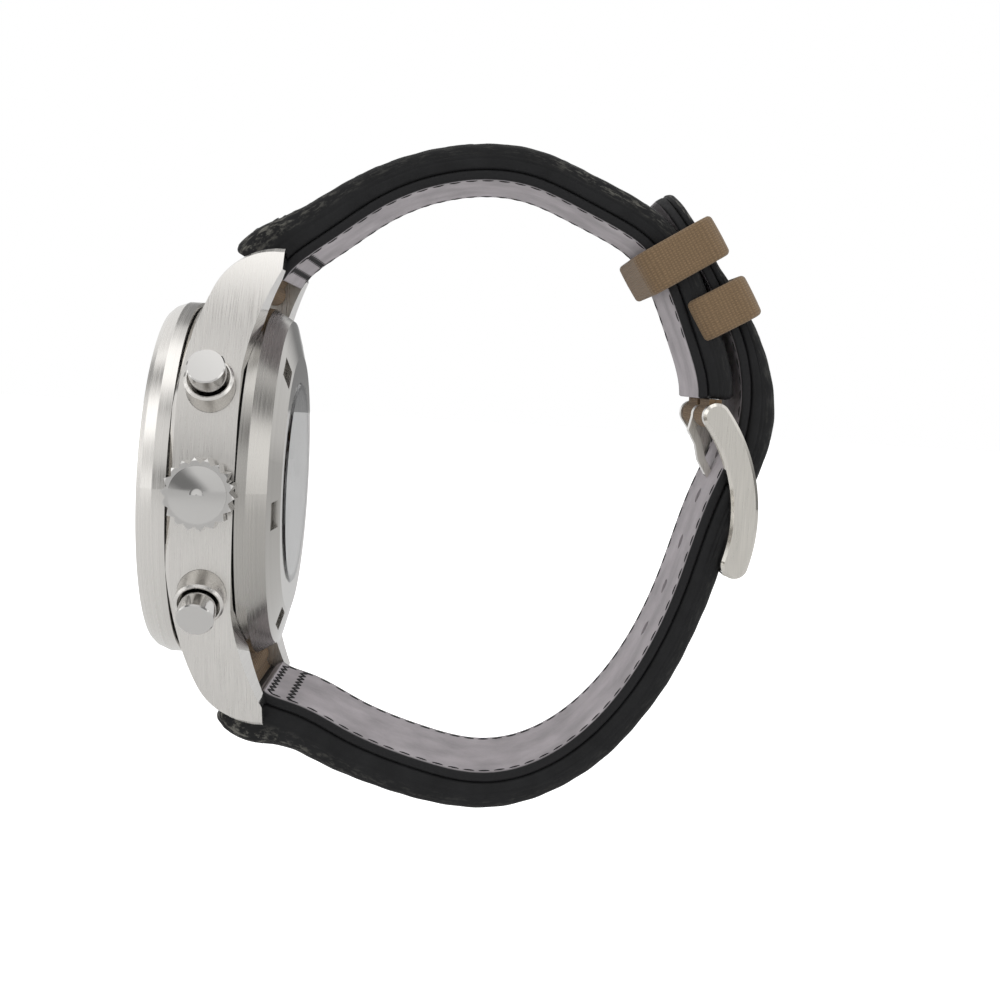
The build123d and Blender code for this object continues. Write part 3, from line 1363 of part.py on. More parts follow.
# Buckle: the frame hangs on its bar with the crossbar outside the tail
cross_middle = strap_thickness / 2 + crossbar_gap + crossbar_thickness / 2
crossbar_at = beside(tail_route, crossbar_share, cross_middle)
cross_way = tail_route % crossbar_share
crossbar_plane = Plane(origin=(crossbar_at.X, 0, crossbar_at.Y), x_dir=(cross_way.Y, 0, -cross_way.X),
                       z_dir=(0, -1, 0))
with BuildPart() as buckle_frame:
    with BuildSketch(Plane.XZ.offset(arm_inner)):
        with BuildLine() as arm_line:
            SagittaArc(buckle_bar_at, (crossbar_at.X, crossbar_at.Y), arm_bulge)
        SlotArc(arm_line.edge(), arm_width)
    extrude(amount=arm_thickness)
    chamfer(faces().sort_by(Axis.Y)[0].edges(), length=arm_chamfer)
    mirror(about=Plane.XZ)
    with BuildSketch(crossbar_plane):
        RectangleRounded(crossbar_thickness, crossbar_height, crossbar_thickness * frame_chamfer_share)
    extrude(amount=arm_inner + arm_chamfer, both=True)
    with BuildSketch(Plane.XZ):
        with Locations(buckle_bar_at):
            Circle(bar_tip_radius + bar_hole_gap)
    extrude(amount=arm_inner + bar_tip_length, both=True, mode=Mode.SUBTRACT)
save(buckle_frame, "buckle_frame")

tang_tip_out = cross_middle + crossbar_thickness / 2 + crossbar_gap + tang_thickness / 2
tang_tip = beside(tail_route, crossbar_share, tang_tip_out)


def bar_frame(turn=0.0):
    """Across the buckle bar, turned about it; x away from the wrist and y up at no turn."""
    return Plane(origin=(buckle_bar_at[0], 0, buckle_bar_at[1]),
                 x_dir=(cos(radians(turn)), 0, sin(radians(turn))), z_dir=(0, -1, 0))


def tang_outline(clearance):
    """The tang seen from the side, from its hub to its tip, grown by a clearance."""
    root = (tang_thickness / 2 - tang_hub_radius, 0)
    points = [root] + tang_offsets + [(tang_tip.X - buckle_bar_at[0], tang_tip.Y - buckle_bar_at[1])]
    half = tang_thickness / 2 + clearance
    with BuildLine(mode=Mode.PRIVATE) as middle_line:
        Spline(*points)
    middle = middle_line.edge()
    outer_side = []
    inner_side = []
    for station in tang_stations:
        way = middle % station
        across = Vector(-way.Y, way.X)
        outer_side.append(middle @ station + across * half)
        inner_side.append(middle @ station - across * half)
    return [(point.X, point.Y) for point in outer_side + inner_side[::-1]]


with BuildPart() as buckle_tang:
    with BuildSketch(bar_frame()):
        Polygon(*tang_outline(0))
        Circle(tang_hub_radius)
    extrude(amount=tang_width / 2, both=True)
    with BuildSketch(bar_frame()):
        Circle(bar_radius + 2 * running_gap)
    extrude(amount=tang_width, both=True, mode=Mode.SUBTRACT)
save(buckle_tang, "buckle_tang")

# Keepers, placed on the route of the top strap half
def keeper_frame(share, offset, tilt):
    """Across the strap: x away from the wrist, z along it towards the buckle."""
    place = beside(top_route, share, offset)
    way = (top_route % share).rotate(Axis.Z, tilt)
    return Plane(origin=(place.X, 0, place.Y), x_dir=(-way.Y, 0, way.X), z_dir=(way.X, 0, way.Y))


def keeper_solid(share, inner_face, cavity, tilt):
    """A rectangular loop of woven band: cavity first outwards from its inner face."""
    middle = inner_face + cavity / 2
    reach = beside(top_route, share, middle).X
    half_width = between(reach, (-wrist_reach, wrist_reach), strap_width / 2, buckle_width / 2) + keeper_gap
    with BuildPart() as piece:
        with BuildSketch(keeper_frame(share, middle, tilt)):
            RectangleRounded(cavity + 2 * keeper_wall, 2 * (half_width + keeper_wall), keeper_round)
            Rectangle(cavity, 2 * half_width, mode=Mode.SUBTRACT)
        extrude(amount=keeper_width / 2, both=True)
    return piece.part


free_inner = -strap_thickness / 2 - free_keeper_inner_gap
fixed_inner = -strap_thickness / 2 + lining_thickness + fixed_keeper_lift + keeper_wall
with BuildPart() as keeper_free:
    add(keeper_solid(free_keeper_share, free_inner, free_keeper_cavity, 0))
save(keeper_free, "keeper_free")
with BuildPart() as keeper_fixed:
    add(keeper_solid(fixed_keeper_share, fixed_inner, fixed_keeper_cavity, fixed_keeper_tilt))
save(keeper_fixed, "keeper_fixed")

# Strap halves and their linings
with BuildPart() as strap_top:
    add(strap_layer(top_route, top_station_shares, whole, to_lining))
    add(keeper_fixed.part, mode=Mode.SUBTRACT)
save(strap_top, "strap_top")
with BuildPart() as lining_top:
    add(strap_layer(top_route, top_station_shares, to_lining, to_wrist))
save(lining_top, "lining_top")

for name, upper, lower in (("strap_bottom", whole, to_lining), ("lining_bottom", to_lining, to_wrist)):
    with BuildPart() as tail_piece:
        add(strap_layer(tail_route, tail_station_shares, upper, lower))
        rounded_tip(tail_piece)
        for step in tail_hole_steps:
            share = tang_share + step * tail_hole_pitch / tail_route.length
            way = tail_route % share
            place = tail_route @ share
            with BuildSketch(Plane(origin=(place.X, 0, place.Y), x_dir=(0, 1, 0), z_dir=(-way.Y, 0, way.X))):
                Circle(tail_hole_radius)
            extrude(amount=strap_thickness, both=True, mode=Mode.SUBTRACT)
        for turn in (0, (frame_swing + tang_swing) / 2, frame_swing + tang_swing):
            with BuildSketch(bar_frame(turn)):
                Polygon(*tang_outline(tang_clearance))
            extrude(amount=tang_width / 2 + tang_clearance, both=True, mode=Mode.SUBTRACT)
    save(tail_piece, name)

# Textile loops round the bars; the one at the buckle leaves room for the tang
loop_outer = bar_radius + loop_wall
with BuildPart() as bar_loops:
    ends = ((bar_places[0], top_points[0]), (bar_places[1], tail_points[0]), (buckle_bar_at, top_points[-1]))
    for bar, end in ends:
        half_width = buckle_width / 2 if bar is buckle_bar_at else strap_width / 2
        run = Vector(end[0] - bar[0], end[1] - bar[1])
        with BuildSketch(Plane(origin=(bar[0], 0, bar[1]), x_dir=(run.X, 0, run.Y), z_dir=(0, -1, 0))):
            Rectangle(run.length - seat_gap, loop_web, align=(Align.MIN, Align.CENTER))
            Circle(loop_outer)
            Circle(bar_radius + seat_gap, mode=Mode.SUBTRACT)
        extrude(amount=half_width, both=True)
    with BuildSketch(Plane.XZ):
        with Locations(buckle_bar_at):
            Circle(tang_hub_radius + tang_hub_gap)
    extrude(amount=tang_width / 2 + tang_hub_gap, both=True, mode=Mode.SUBTRACT)
save(bar_loops, "bar_loops")
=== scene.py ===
# %% [markdown]
# # A pilot watch with its strap buckled round an open loop
#
# The metal pieces come from CAD and stay as they are; here they only get their finish. Leather,
# lining, woven loops, keepers and thread are soft, so they are made new, as surfaces worked out
# with numpy, in the places that their CAD solids hold. Everything is in metres, with 12 o'clock
# up, the dial to the left and the crown towards the camera.

import bpy
import numpy as np
from mathutils import Matrix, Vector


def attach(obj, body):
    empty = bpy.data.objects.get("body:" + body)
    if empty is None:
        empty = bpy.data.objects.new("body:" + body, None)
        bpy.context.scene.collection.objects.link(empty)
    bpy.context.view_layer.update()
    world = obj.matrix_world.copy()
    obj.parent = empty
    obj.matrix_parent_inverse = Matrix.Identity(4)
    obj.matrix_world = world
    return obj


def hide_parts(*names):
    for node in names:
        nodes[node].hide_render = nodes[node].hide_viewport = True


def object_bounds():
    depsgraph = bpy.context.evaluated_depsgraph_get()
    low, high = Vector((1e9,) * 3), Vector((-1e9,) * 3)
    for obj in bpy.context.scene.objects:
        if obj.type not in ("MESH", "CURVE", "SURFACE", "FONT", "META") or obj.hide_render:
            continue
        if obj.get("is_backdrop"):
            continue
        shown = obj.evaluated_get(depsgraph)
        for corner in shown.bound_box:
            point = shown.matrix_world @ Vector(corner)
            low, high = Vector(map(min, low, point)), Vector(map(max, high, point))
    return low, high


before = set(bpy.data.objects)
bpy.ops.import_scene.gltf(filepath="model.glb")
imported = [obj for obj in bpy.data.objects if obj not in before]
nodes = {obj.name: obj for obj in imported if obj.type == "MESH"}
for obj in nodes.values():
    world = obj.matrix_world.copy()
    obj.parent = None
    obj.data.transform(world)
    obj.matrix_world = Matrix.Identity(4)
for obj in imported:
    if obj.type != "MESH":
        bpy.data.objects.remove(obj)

cad_low, cad_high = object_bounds()
millimetre = 0.001
print(len(nodes), "CAD nodes, box in mm:", [round(1000 * (high - low), 1) for low, high in zip(cad_low, cad_high)])

# %% [markdown]
# ## Camera, floor and light
# The photograph looks along the winding stem from about 20 cm, a little above the crown. The
# place and turn of the camera were fitted to points on the rings of the case, the lugs and the
# strap. The setting is a white tent: a pale floor and a world that is white to the camera, to
# reflections and through glass, but lights the object at a plain level.

# %% Camera
focal_pixels = 1606
frame_pixels = 1000
sensor_width = 36.0
camera_place = millimetre * np.array([-3.6, -197.1, 14.6])
camera_turn = np.radians([4.51, 3.26, 1.30])


def turned(angles):
    """The turn about x, then y, then z: Rz Ry Rx."""
    (cx, cy, cz), (sx, sy, sz) = np.cos(angles), np.sin(angles)
    about_x = np.array([[1, 0, 0], [0, cx, -sx], [0, sx, cx]])
    about_y = np.array([[cy, 0, sy], [0, 1, 0], [-sy, 0, cy]])
    about_z = np.array([[cz, -sz, 0], [sz, cz, 0], [0, 0, 1]])
    return about_z @ about_y @ about_x


def set_in_place(item, ways, place):
    """Puts an object at a place, with its own three axes pointing along three ways."""
    matrix = Matrix.Identity(4)
    for column, way in enumerate(ways):
        for row in range(3):
            matrix[row][column] = way[row]
    matrix.translation = place
    item.matrix_world = matrix


right, ahead, up = turned(camera_turn)
camera = bpy.data.objects.new("camera", bpy.data.cameras.new("camera"))
bpy.context.scene.collection.objects.link(camera)
set_in_place(camera, (right, up, -ahead), camera_place)
camera.data.sensor_width = sensor_width
camera.data.lens = focal_pixels / frame_pixels * sensor_width
camera.data.clip_start = 0.01
bpy.context.scene.camera = camera
print("lens", round(camera.data.lens, 1), "mm")

# %% Helpers for materials


def new_material(name, colour, roughness, metallic=0.0):
    """A material whose plain values sit on the shader's own sockets."""
    material = bpy.data.materials.new(name)
    material.use_nodes = True
    shader = material.node_tree.nodes["Principled BSDF"]
    shader.inputs["Base Color"].default_value = (*colour, 1)
    shader.inputs["Roughness"].default_value = roughness
    shader.inputs["Metallic"].default_value = metallic
    return material, material.node_tree, shader


def add_node(tree, kind, inputs=None, **settings):
    node = tree.nodes.new(kind)
    for key, value in settings.items():
        setattr(node, key, value)
    for key, value in (inputs or {}).items():
        node.inputs[key].default_value = value
    return node


def wire(tree, source, output, target, socket):
    tree.links.new(source.outputs[output], target.inputs[socket])


def object_pattern(tree, scale):
    """Object coordinates, stretched by a scale along each axis."""
    place = add_node(tree, "ShaderNodeTexCoord")
    mapping = add_node(tree, "ShaderNodeMapping", {"Scale": scale})
    wire(tree, place, "Object", mapping, "Vector")
    return mapping


def own_pattern(tree, scale):
    """The piece's own UV map, in metres along and round it, stretched by a scale."""
    place = add_node(tree, "ShaderNodeUVMap", uv_map="surface")
    mapping = add_node(tree, "ShaderNodeMapping", {"Scale": scale})
    wire(tree, place, "UV", mapping, "Vector")
    return mapping


def spread(tree, source, output, low, high, start=0.3, end=0.7):
    """A pattern's values between start and end, brought to the range from low to high."""
    node = add_node(tree, "ShaderNodeMapRange", {"From Min": start, "From Max": end, "To Min": low, "To Max": high})
    wire(tree, source, output, node, "Value")
    return node


def raise_surface(tree, shader, source, output, depth, strength=1.0, after=None):
    """Bump of a real depth in metres from a pattern, on top of an earlier bump."""
    bump = add_node(tree, "ShaderNodeBump", {"Distance": depth, "Strength": strength})
    wire(tree, source, output, bump, "Height")
    if after is not None:
        wire(tree, after, "Normal", bump, "Normal")
    wire(tree, bump, "Normal", shader, "Normal")
    return bump


# %% Floor and world
floor_drop = 0.045
floor_reach = 3.0
floor_white, floor_mirrored, floor_glow = 0.9, 0.78, 0.60
floor_mesh = bpy.data.meshes.new("floor")
floor_level = cad_low.z - floor_drop
floor_corners = ((-1, -1), (1, -1), (1, 1), (-1, 1))
floor_mesh.from_pydata([(x * floor_reach, y * floor_reach, floor_level) for x, y in floor_corners],
                       [], [(0, 1, 2, 3)])
floor = bpy.data.objects.new("floor", floor_mesh)
bpy.context.scene.collection.objects.link(floor)
floor_paint, floor_tree, floor_shader = new_material("white_floor", (floor_white,) * 3, 0.9)
floor_shader.inputs["Emission Color"].default_value = (1, 1, 1, 1)
floor_ray = add_node(floor_tree, "ShaderNodeLightPath")
glow = spread(floor_tree, floor_ray, "Is Camera Ray", 0, floor_glow, 0, 1)
wire(floor_tree, glow, "Result", floor_shader, "Emission Strength")
floor_shade = spread(floor_tree, floor_ray, "Is Glossy Ray", floor_white, floor_mirrored, 0, 1)
wire(floor_tree, floor_shade, "Result", floor_shader, "Base Color")
floor.data.materials.append(floor_paint)
floor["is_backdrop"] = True

world = bpy.data.worlds.new("white_tent")
bpy.context.scene.world = world
world.use_nodes = True
tent = world.node_tree
plain_light = tent.nodes["Background"]
plain_light.inputs["Color"].default_value = (1, 1, 1, 1)
plain_light.inputs["Strength"].default_value = 0.80
seen_light = add_node(tent, "ShaderNodeBackground", {"Color": (1, 1, 1, 1), "Strength": 1.0})
mirrored = add_node(tent, "ShaderNodeBackground", {"Color": (1, 1, 1, 1)})
ray = add_node(tent, "ShaderNodeLightPath")
either = add_node(tent, "ShaderNodeMath", operation="MAXIMUM")
seen = add_node(tent, "ShaderNodeMixShader")
mixed = add_node(tent, "ShaderNodeMixShader")
wire(tent, ray, "Is Camera Ray", either, 0)
wire(tent, ray, "Is Transmission Ray", either, 1)
wire(tent, either, "Value", seen, "Fac")
tent.links.new(plain_light.outputs["Background"], seen.inputs[1])
tent.links.new(seen_light.outputs["Background"], seen.inputs[2])
wire(tent, ray, "Is Glossy Ray", mixed, "Fac")
tent.links.new(seen.outputs["Shader"], mixed.inputs[1])
tent.links.new(mirrored.outputs["Background"], mixed.inputs[2])
wire(tent, mixed, "Shader", tent.nodes["World Output"], "Surface")

# %% [markdown]
# Metal shows what stands around it. In a tent the camera looks through an opening, and the
# seams of the cloth are darker, so the tent that metal mirrors is a little greyer towards the
# camera and has soft dark bands. Without the bands polished steel looks like white plastic.
# The tent fades a little towards the horizon, which softens the line where the floor begins.

# %% What metal mirrors
towards_camera, tent_white, opening_grey = 0.45, 0.95, 0.85
band_grey, horizon_grey, fade_height = 0.30, 0.90, 0.40
look = add_node(tent, "ShaderNodeTexCoord")
look_parts = add_node(tent, "ShaderNodeSeparateXYZ")
wire(tent, look, "Generated", look_parts, "Vector")
opening = spread(tent, look_parts, "Y", opening_grey, tent_white, -1.0, -towards_camera)
opening.interpolation_type = "SMOOTHSTEP"
bands = add_node(tent, "ShaderNodeTexWave", {"Scale": 0.55, "Distortion": 1.2, "Detail": 1.0, "Detail Scale": 0.8},
                 wave_type="BANDS", bands_direction="DIAGONAL")
wire(tent, look, "Generated", bands, "Vector")
band_shade = spread(tent, bands, "Fac", band_grey, 1.0, 0.05, 0.40)
horizon = spread(tent, look_parts, "Z", horizon_grey, 1.0, 0.0, fade_height)
horizon.interpolation_type = "SMOOTHSTEP"
shade = add_node(tent, "ShaderNodeMath", operation="MULTIPLY")
dimmed = add_node(tent, "ShaderNodeMath", operation="MULTIPLY")
wire(tent, opening, "Result", shade, 0)
wire(tent, band_shade, "Result", shade, 1)
wire(tent, shade, "Value", dimmed, 0)
wire(tent, horizon, "Result", dimmed, 1)
wire(tent, dimmed, "Value", mirrored, "Strength")

# %% Lamps
lamps = {
    "lamp_above": ((-0.10, -0.05, 0.60), (0.70, 0.70), 0.8),
    "lamp_left": ((-0.60, -0.20, 0.10), (0.50, 0.70), 0.7),
    "lamp_right": ((0.55, -0.20, 0.05), (0.50, 0.70), 0.6),
}
for name, (place, size, power) in lamps.items():
    data = bpy.data.lights.new(name, "AREA")
    data.shape = "RECTANGLE"
    data.size, data.size_y = size
    data.energy = power
    lamp = bpy.data.objects.new(name, data)
    bpy.context.scene.collection.objects.link(lamp)
    away = np.array(place) / np.linalg.norm(place)
    side = np.cross((0, 0, 1), away)
    side /= np.linalg.norm(side)
    set_in_place(lamp, (side, np.cross(away, side), away), place)
bpy.context.scene.view_settings.view_transform = "Standard"
print(len(lamps), "lamps")

# %% [markdown]
# ## Metal finishes
# A brushed face is a mirror broken up by fine parallel scratches. It could be done with an
# anisotropic shader alone, but the scratches are seen up close, so noise that is stretched along
# the grain drives both the roughness and a very shallow bump. On the case the grain runs from
# lug to lug; on turned rings it runs round the dial axis. Faces that lean towards the dial or
# the wrist are polished bevels, so the normal chooses between the two finishes.

# %% Brushed and polished steel
grain_width = 0.00014
grain_length = 0.006
grain_depth = 0.000012
polish_roughness = 0.07


def round_grain(tree):
    """Grain that runs round the dial axis: it varies with depth and distance from the axis only."""
    place = add_node(tree, "ShaderNodeTexCoord")
    flat = add_node(tree, "ShaderNodeVectorMath", operation="MULTIPLY")
    flat.inputs[1].default_value = (0, 1, 1)
    size = add_node(tree, "ShaderNodeVectorMath", operation="LENGTH")
    apart = add_node(tree, "ShaderNodeSeparateXYZ")
    joined = add_node(tree, "ShaderNodeCombineXYZ")
    mapping = add_node(tree, "ShaderNodeMapping", {"Scale": (1 / grain_width, 1 / grain_width, 0)})
    wire(tree, place, "Object", flat, 0)
    wire(tree, flat, "Vector", size, 0)
    wire(tree, place, "Object", apart, "Vector")
    wire(tree, apart, "X", joined, "X")
    wire(tree, size, "Value", joined, "Y")
    wire(tree, joined, "Vector", mapping, "Vector")
    return mapping


def steel(name, colour, roughness, grain, polish=None):
    """Brushed steel. It turns to a polish as the part of the normal along an axis goes from one
    value to another: polish is (axis, brushed at, polished at)."""
    material, tree, shader = new_material(name, colour, roughness, 1.0)
    if grain == "round":
        pattern = round_grain(tree)
    else:
        pattern = object_pattern(tree, tuple(1 / size for size in grain))
    scratches = add_node(tree, "ShaderNodeTexNoise", {"Scale": 1.0, "Detail": 3.0, "Roughness": 0.7})
    wire(tree, pattern, "Vector", scratches, "Vector")
    rough = spread(tree, scratches, "Fac", roughness - 0.08, roughness + 0.10)
    streaks = add_node(tree, "ShaderNodeMix", data_type="RGBA")
    streaks.inputs["A"].default_value = (*[value * 0.90 for value in colour], 1)
    streaks.inputs["B"].default_value = (*[value * 1.08 for value in colour], 1)
    wire(tree, spread(tree, scratches, "Fac", 0, 1), "Result", streaks, "Factor")
    wire(tree, streaks, "Result", shader, "Base Color")
    grain_strength = 0.12 if grain == "round" else 0.35
    bump = raise_surface(tree, shader, scratches, "Fac", grain_depth, grain_strength)
    if polish is None:
        wire(tree, rough, "Result", shader, "Roughness")
        return material
    faces = add_node(tree, "ShaderNodeNewGeometry")
    lean = add_node(tree, "ShaderNodeSeparateXYZ")
    size = add_node(tree, "ShaderNodeMath", operation="ABSOLUTE")
    wire(tree, faces, "True Normal", lean, "Vector")
    axis, brushed_at, polished_at = polish
    wire(tree, lean, axis, size, 0)
    polished = spread(tree, size, "Value", 0, 1, brushed_at, polished_at)
    mix = add_node(tree, "ShaderNodeMix", {"B": polish_roughness}, data_type="FLOAT")
    wire(tree, polished, "Result", mix, "Factor")
    wire(tree, rough, "Result", mix, "A")
    wire(tree, mix, "Result", shader, "Roughness")
    calm = spread(tree, polished, "Result", grain_strength, 0.02, 0, 1)
    wire(tree, calm, "Result", bump, "Strength")
    return material


def polished_steel(name, colour, roughness=0.05):
    """A mirror with faint smudges, so that its highlights aren't perfectly even."""
    material, tree, shader = new_material(name, colour, roughness, 1.0)
    pattern = object_pattern(tree, (350, 350, 350))
    smudge = add_node(tree, "ShaderNodeTexNoise", {"Scale": 1.0, "Detail": 3.0})
    wire(tree, pattern, "Vector", smudge, "Vector")
    wire(tree, spread(tree, smudge, "Fac", roughness, roughness + 0.05), "Result", shader, "Roughness")
    return material


steel_colour = (0.73, 0.71, 0.68)
upright = (grain_width, np.inf, grain_length)
case_steel = steel("steel_case", steel_colour, 0.30, upright, ("X", 0.32, 0.38))
ring_steel = steel("steel_turned", steel_colour, 0.22, "round")
back_steel = steel("steel_back", (0.47, 0.455, 0.43), 0.24, "round", ("X", 0.72, 0.78))
buckle_steel = steel("steel_buckle", (0.69, 0.665, 0.615), 0.32, upright, ("Y", 0.97, 0.90))
mirror_steel = polished_steel("steel_polished", (0.62, 0.61, 0.595), 0.07)
movement_steel = polished_steel("steel_movement", (0.55, 0.56, 0.58), 0.12)
rotor_steel = steel("steel_rotor", (0.52, 0.51, 0.50), 0.25, "round")
plate_metal = steel("plates_rhodium", (0.66, 0.65, 0.62), 0.30, "round")
wheel_brass = steel("wheels_gilt", (0.75, 0.58, 0.30), 0.25, "round")

# %% [markdown]
# ## Glass, rubber and paint
# Sapphire is clearer and bends light more than window glass, so its index is 1.77. Jewels are
# the same stone in red. The dial is matt paint with a fine tooth, the hands are filled with a
# pale paint.

# %% Glass, rubber and paint


def clear_stone(name, colour, roughness=0.0):
    """Sapphire or ruby, clear all through."""
    material, _, shader = new_material(name, colour, roughness)
    shader.inputs["Transmission Weight"].default_value = 1.0
    shader.inputs["IOR"].default_value = 1.77
    return material


def paint(name, colour, roughness, tooth, depth):
    """Paint with a fine uneven tooth of a given size."""
    material, tree, shader = new_material(name, colour, roughness)
    pattern = object_pattern(tree, (1 / tooth, 1 / tooth, 1 / tooth))
    specks = add_node(tree, "ShaderNodeTexNoise", {"Scale": 1.0, "Detail": 4.0})
    wire(tree, pattern, "Vector", specks, "Vector")
    wire(tree, spread(tree, specks, "Fac", roughness - 0.1, roughness + 0.1), "Result", shader, "Roughness")
    raise_surface(tree, shader, specks, "Fac", depth, 0.5)
    return material


sapphire = clear_stone("sapphire", (0.97, 0.98, 0.98))
ruby = clear_stone("ruby", (0.75, 0.05, 0.12), 0.05)
rubber = paint("rubber_black", (0.02, 0.02, 0.02), 0.6, 0.0002, 0.00001)
dial_paint = paint("dial_black", (0.012, 0.012, 0.014), 0.55, 0.00012, 0.000008)
flange_paint = paint("flange_black", (0.02, 0.02, 0.022), 0.45, 0.00012, 0.000006)
date_paint = paint("date_white", (0.80, 0.80, 0.78), 0.6, 0.0002, 0.000005)
hand_paint = paint("hands_pale", (0.78, 0.78, 0.72), 0.45, 0.0002, 0.000005)

# %% Finish of each CAD node
finishes = {
    case_steel: "mid_case",
    ring_steel: "bezel crown_tube pusher_tubes",
    back_steel: "case_back",
    mirror_steel: "pusher_start pusher_reset crown spring_bars buckle_bar",
    buckle_steel: "buckle_frame buckle_tang",
    movement_steel: "pusher_spring_start pusher_spring_reset winding_stem movement_screws rotor_bearing "
                    "mainspring escape_wheel pallet_fork hairspring setting_lever start_lever reset_lever",
    rotor_steel: "rotor",
    plate_metal: "main_plate movement_ring barrel_bridge train_bridge balance_cock rotor_bridge",
    wheel_brass: "barrel centre_wheel third_wheel seconds_wheel balance_wheel hour_wheel chrono_wheel "
                 "minute_counter_wheel hour_counter_wheel",
    sapphire: "crystal back_crystal", ruby: "jewels", rubber: "gaskets",
    dial_paint: "dial", flange_paint: "dial_flange", date_paint: "date_disc",
    hand_paint: "hour_hand minute_hand small_seconds_hand chrono_hand minute_counter_hand hour_counter_hand",
}
finished = set()
for material, names in finishes.items():
    for name in names.split():
        node_object = nodes[name]
        if not node_object.material_slots:
            node_object.data.materials.append(material)
        for place in node_object.material_slots:
            place.material = material
        finished.add(name)
print(len(finished), "nodes finished, soft ones left:", sorted(set(nodes) - finished))

# %% [markdown]
# ## Surfaces from arrays
# Each soft piece is a stack of rings: the outline of its section, carried along a path. All
# rings are worked out at once as one array, and one helper turns such a stack into a closed
# mesh with a UV map in metres, so that grain and weave keep their size on every piece.

# %% Rings to a closed mesh


def skin(rings, closed_path=False):
    """Faces between neighbouring rings, with a flat cap on each open end, and UVs by length."""
    count, size = rings.shape[:2]
    rows = np.arange(count if closed_path else count - 1)
    i, j = np.meshgrid(rows, np.arange(size), indexing="ij")
    after, beside_it = (i + 1) % count, (j + 1) % size
    quads = np.stack([i * size + j, i * size + beside_it, after * size + beside_it, after * size + j], -1)
    steps = np.linalg.norm(np.diff(np.concatenate([rings, rings[:1]]), axis=0), axis=2).mean(1)
    path = np.concatenate([[0], np.cumsum(steps)])
    turns = np.linalg.norm(np.roll(rings, -1, axis=1) - rings, axis=2).mean(0)
    outline = np.concatenate([[0], np.cumsum(turns)])
    u = np.stack([path[i], path[i], path[i + 1], path[i + 1]], -1)
    v = np.stack([outline[j], outline[j + 1], outline[j + 1], outline[j]], -1)
    uvs = np.stack([u, v], -1).reshape(-1, 2)
    caps = [] if closed_path else [list(range(size))[::-1], [(count - 1) * size + k for k in range(size)]]
    quads = quads.reshape(-1, 4)
    points = rings.reshape(-1, 3)
    corners = points[quads]
    middle = points.mean(0)
    volume = np.einsum("ij,ij->i", corners[:, 0] - middle,
                       np.cross(corners[:, 1] - middle, corners[:, 2] - middle)
                       + np.cross(corners[:, 2] - middle, corners[:, 3] - middle)).sum()
    if volume < 0:
        quads = quads[:, ::-1]
        uvs = uvs.reshape(-1, 4, 2)[:, ::-1].reshape(-1, 2)
        caps = [cap[::-1] for cap in caps]
    return points, quads.tolist(), caps, uvs


def make_piece(name, skins, material, body, wear=None):
    """One object from several skins, riding on a body, with its UV map and wear on each point."""
    points, faces, uvs, start = [], [], [], 0
    caps = []
    for found, quads, ends, found_uvs in skins:
        faces += [[index + start for index in face] for face in quads]
        caps += [[index + start for index in face] for face in ends]
        uvs.append(found_uvs)
        points.append(found)
        start += len(found)
    points = np.concatenate(points)
    mesh = bpy.data.meshes.new(name)
    mesh.from_pydata(points.tolist(), [], faces + caps)
    layer = mesh.uv_layers.new(name="surface")
    flat = np.zeros((len(mesh.loops), 2), np.float32)
    given = np.concatenate(uvs)
    flat[:len(given)] = given
    layer.data.foreach_set("uv", flat.ravel())
    smooth = np.zeros(len(mesh.polygons), bool)
    smooth[:len(faces)] = True
    mesh.polygons.foreach_set("use_smooth", smooth)
    if wear is not None:
        attribute = mesh.attributes.new("wear", "FLOAT", "POINT")
        attribute.data.foreach_set("value", np.asarray(wear, np.float32).ravel())
    mesh.materials.append(material)
    piece = bpy.data.objects.new(name, mesh)
    bpy.context.scene.collection.objects.link(piece)
    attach(piece, body)
    return piece


def outline_factors(across_count, side_count, corner_count):
    """A rounded bar as factors: a point lies at p (half - r) + r c across and q (half - r) + r s up."""
    def run(count):
        return np.linspace(-1, 1, count + 2)[1:-1]

    parts = []
    level, upright_run = run(across_count), run(side_count)
    corners = np.linspace(np.pi / 2, 0, corner_count)
    for turn, (p, q) in enumerate(((1, 1), (1, -1), (-1, -1), (-1, 1))):
        angles = corners - turn * np.pi / 2
        parts.append(np.stack([np.full(corner_count, p), np.full(corner_count, q), np.cos(angles), np.sin(angles)]))
        if turn == 0:
            flat = np.stack([np.ones(side_count), -upright_run, np.ones(side_count), np.zeros(side_count)])
        elif turn == 1:
            flat = np.stack([-level, -np.ones(across_count), np.zeros(across_count), -np.ones(across_count)])
        elif turn == 2:
            flat = np.stack([-np.ones(side_count), upright_run, -np.ones(side_count), np.zeros(side_count)])
        else:
            flat = np.stack([level, np.ones(across_count), np.zeros(across_count), np.ones(across_count)])
        parts.append(flat)
    return np.concatenate(parts, axis=1)


# %% [markdown]
# ## The two routes of the strap
# Both strap halves follow a smooth line from the lugs round the wrist. Points measured on the
# photograph are joined by cubic arcs whose bend is continuous, which is how a piece of leather
# lies. The tail half passes outside the buckle and under the keepers.

# %% Routes
loop_size = millimetre * np.array([60.0, 78.0])
lug_end = millimetre * np.array([-28.1, 25.25])
buckle_bar = np.array([0.421, 0.144]) * loop_size
end_gap = 2.05 * millimetre
top_shares = [(-0.365, 0.397), (-0.260, 0.4525), (-0.165, 0.484), (-0.065, 0.500), (0.045, 0.4945),
              (0.150, 0.464), (0.220, 0.4395), (0.282, 0.4105), (0.352, 0.330), (0.392, 0.256)]
tail_shares = [(-0.380, -0.3575), (-0.285, -0.390), (-0.130, -0.4305), (0.005, -0.445), (0.125, -0.4205),
               (0.232, -0.360), (0.337, -0.2475), (0.402, -0.1245), (0.458, 0.019), (0.498, 0.105),
               (0.504, 0.173), (0.478, 0.255), (0.4125, 0.3423), (0.312, 0.459)]


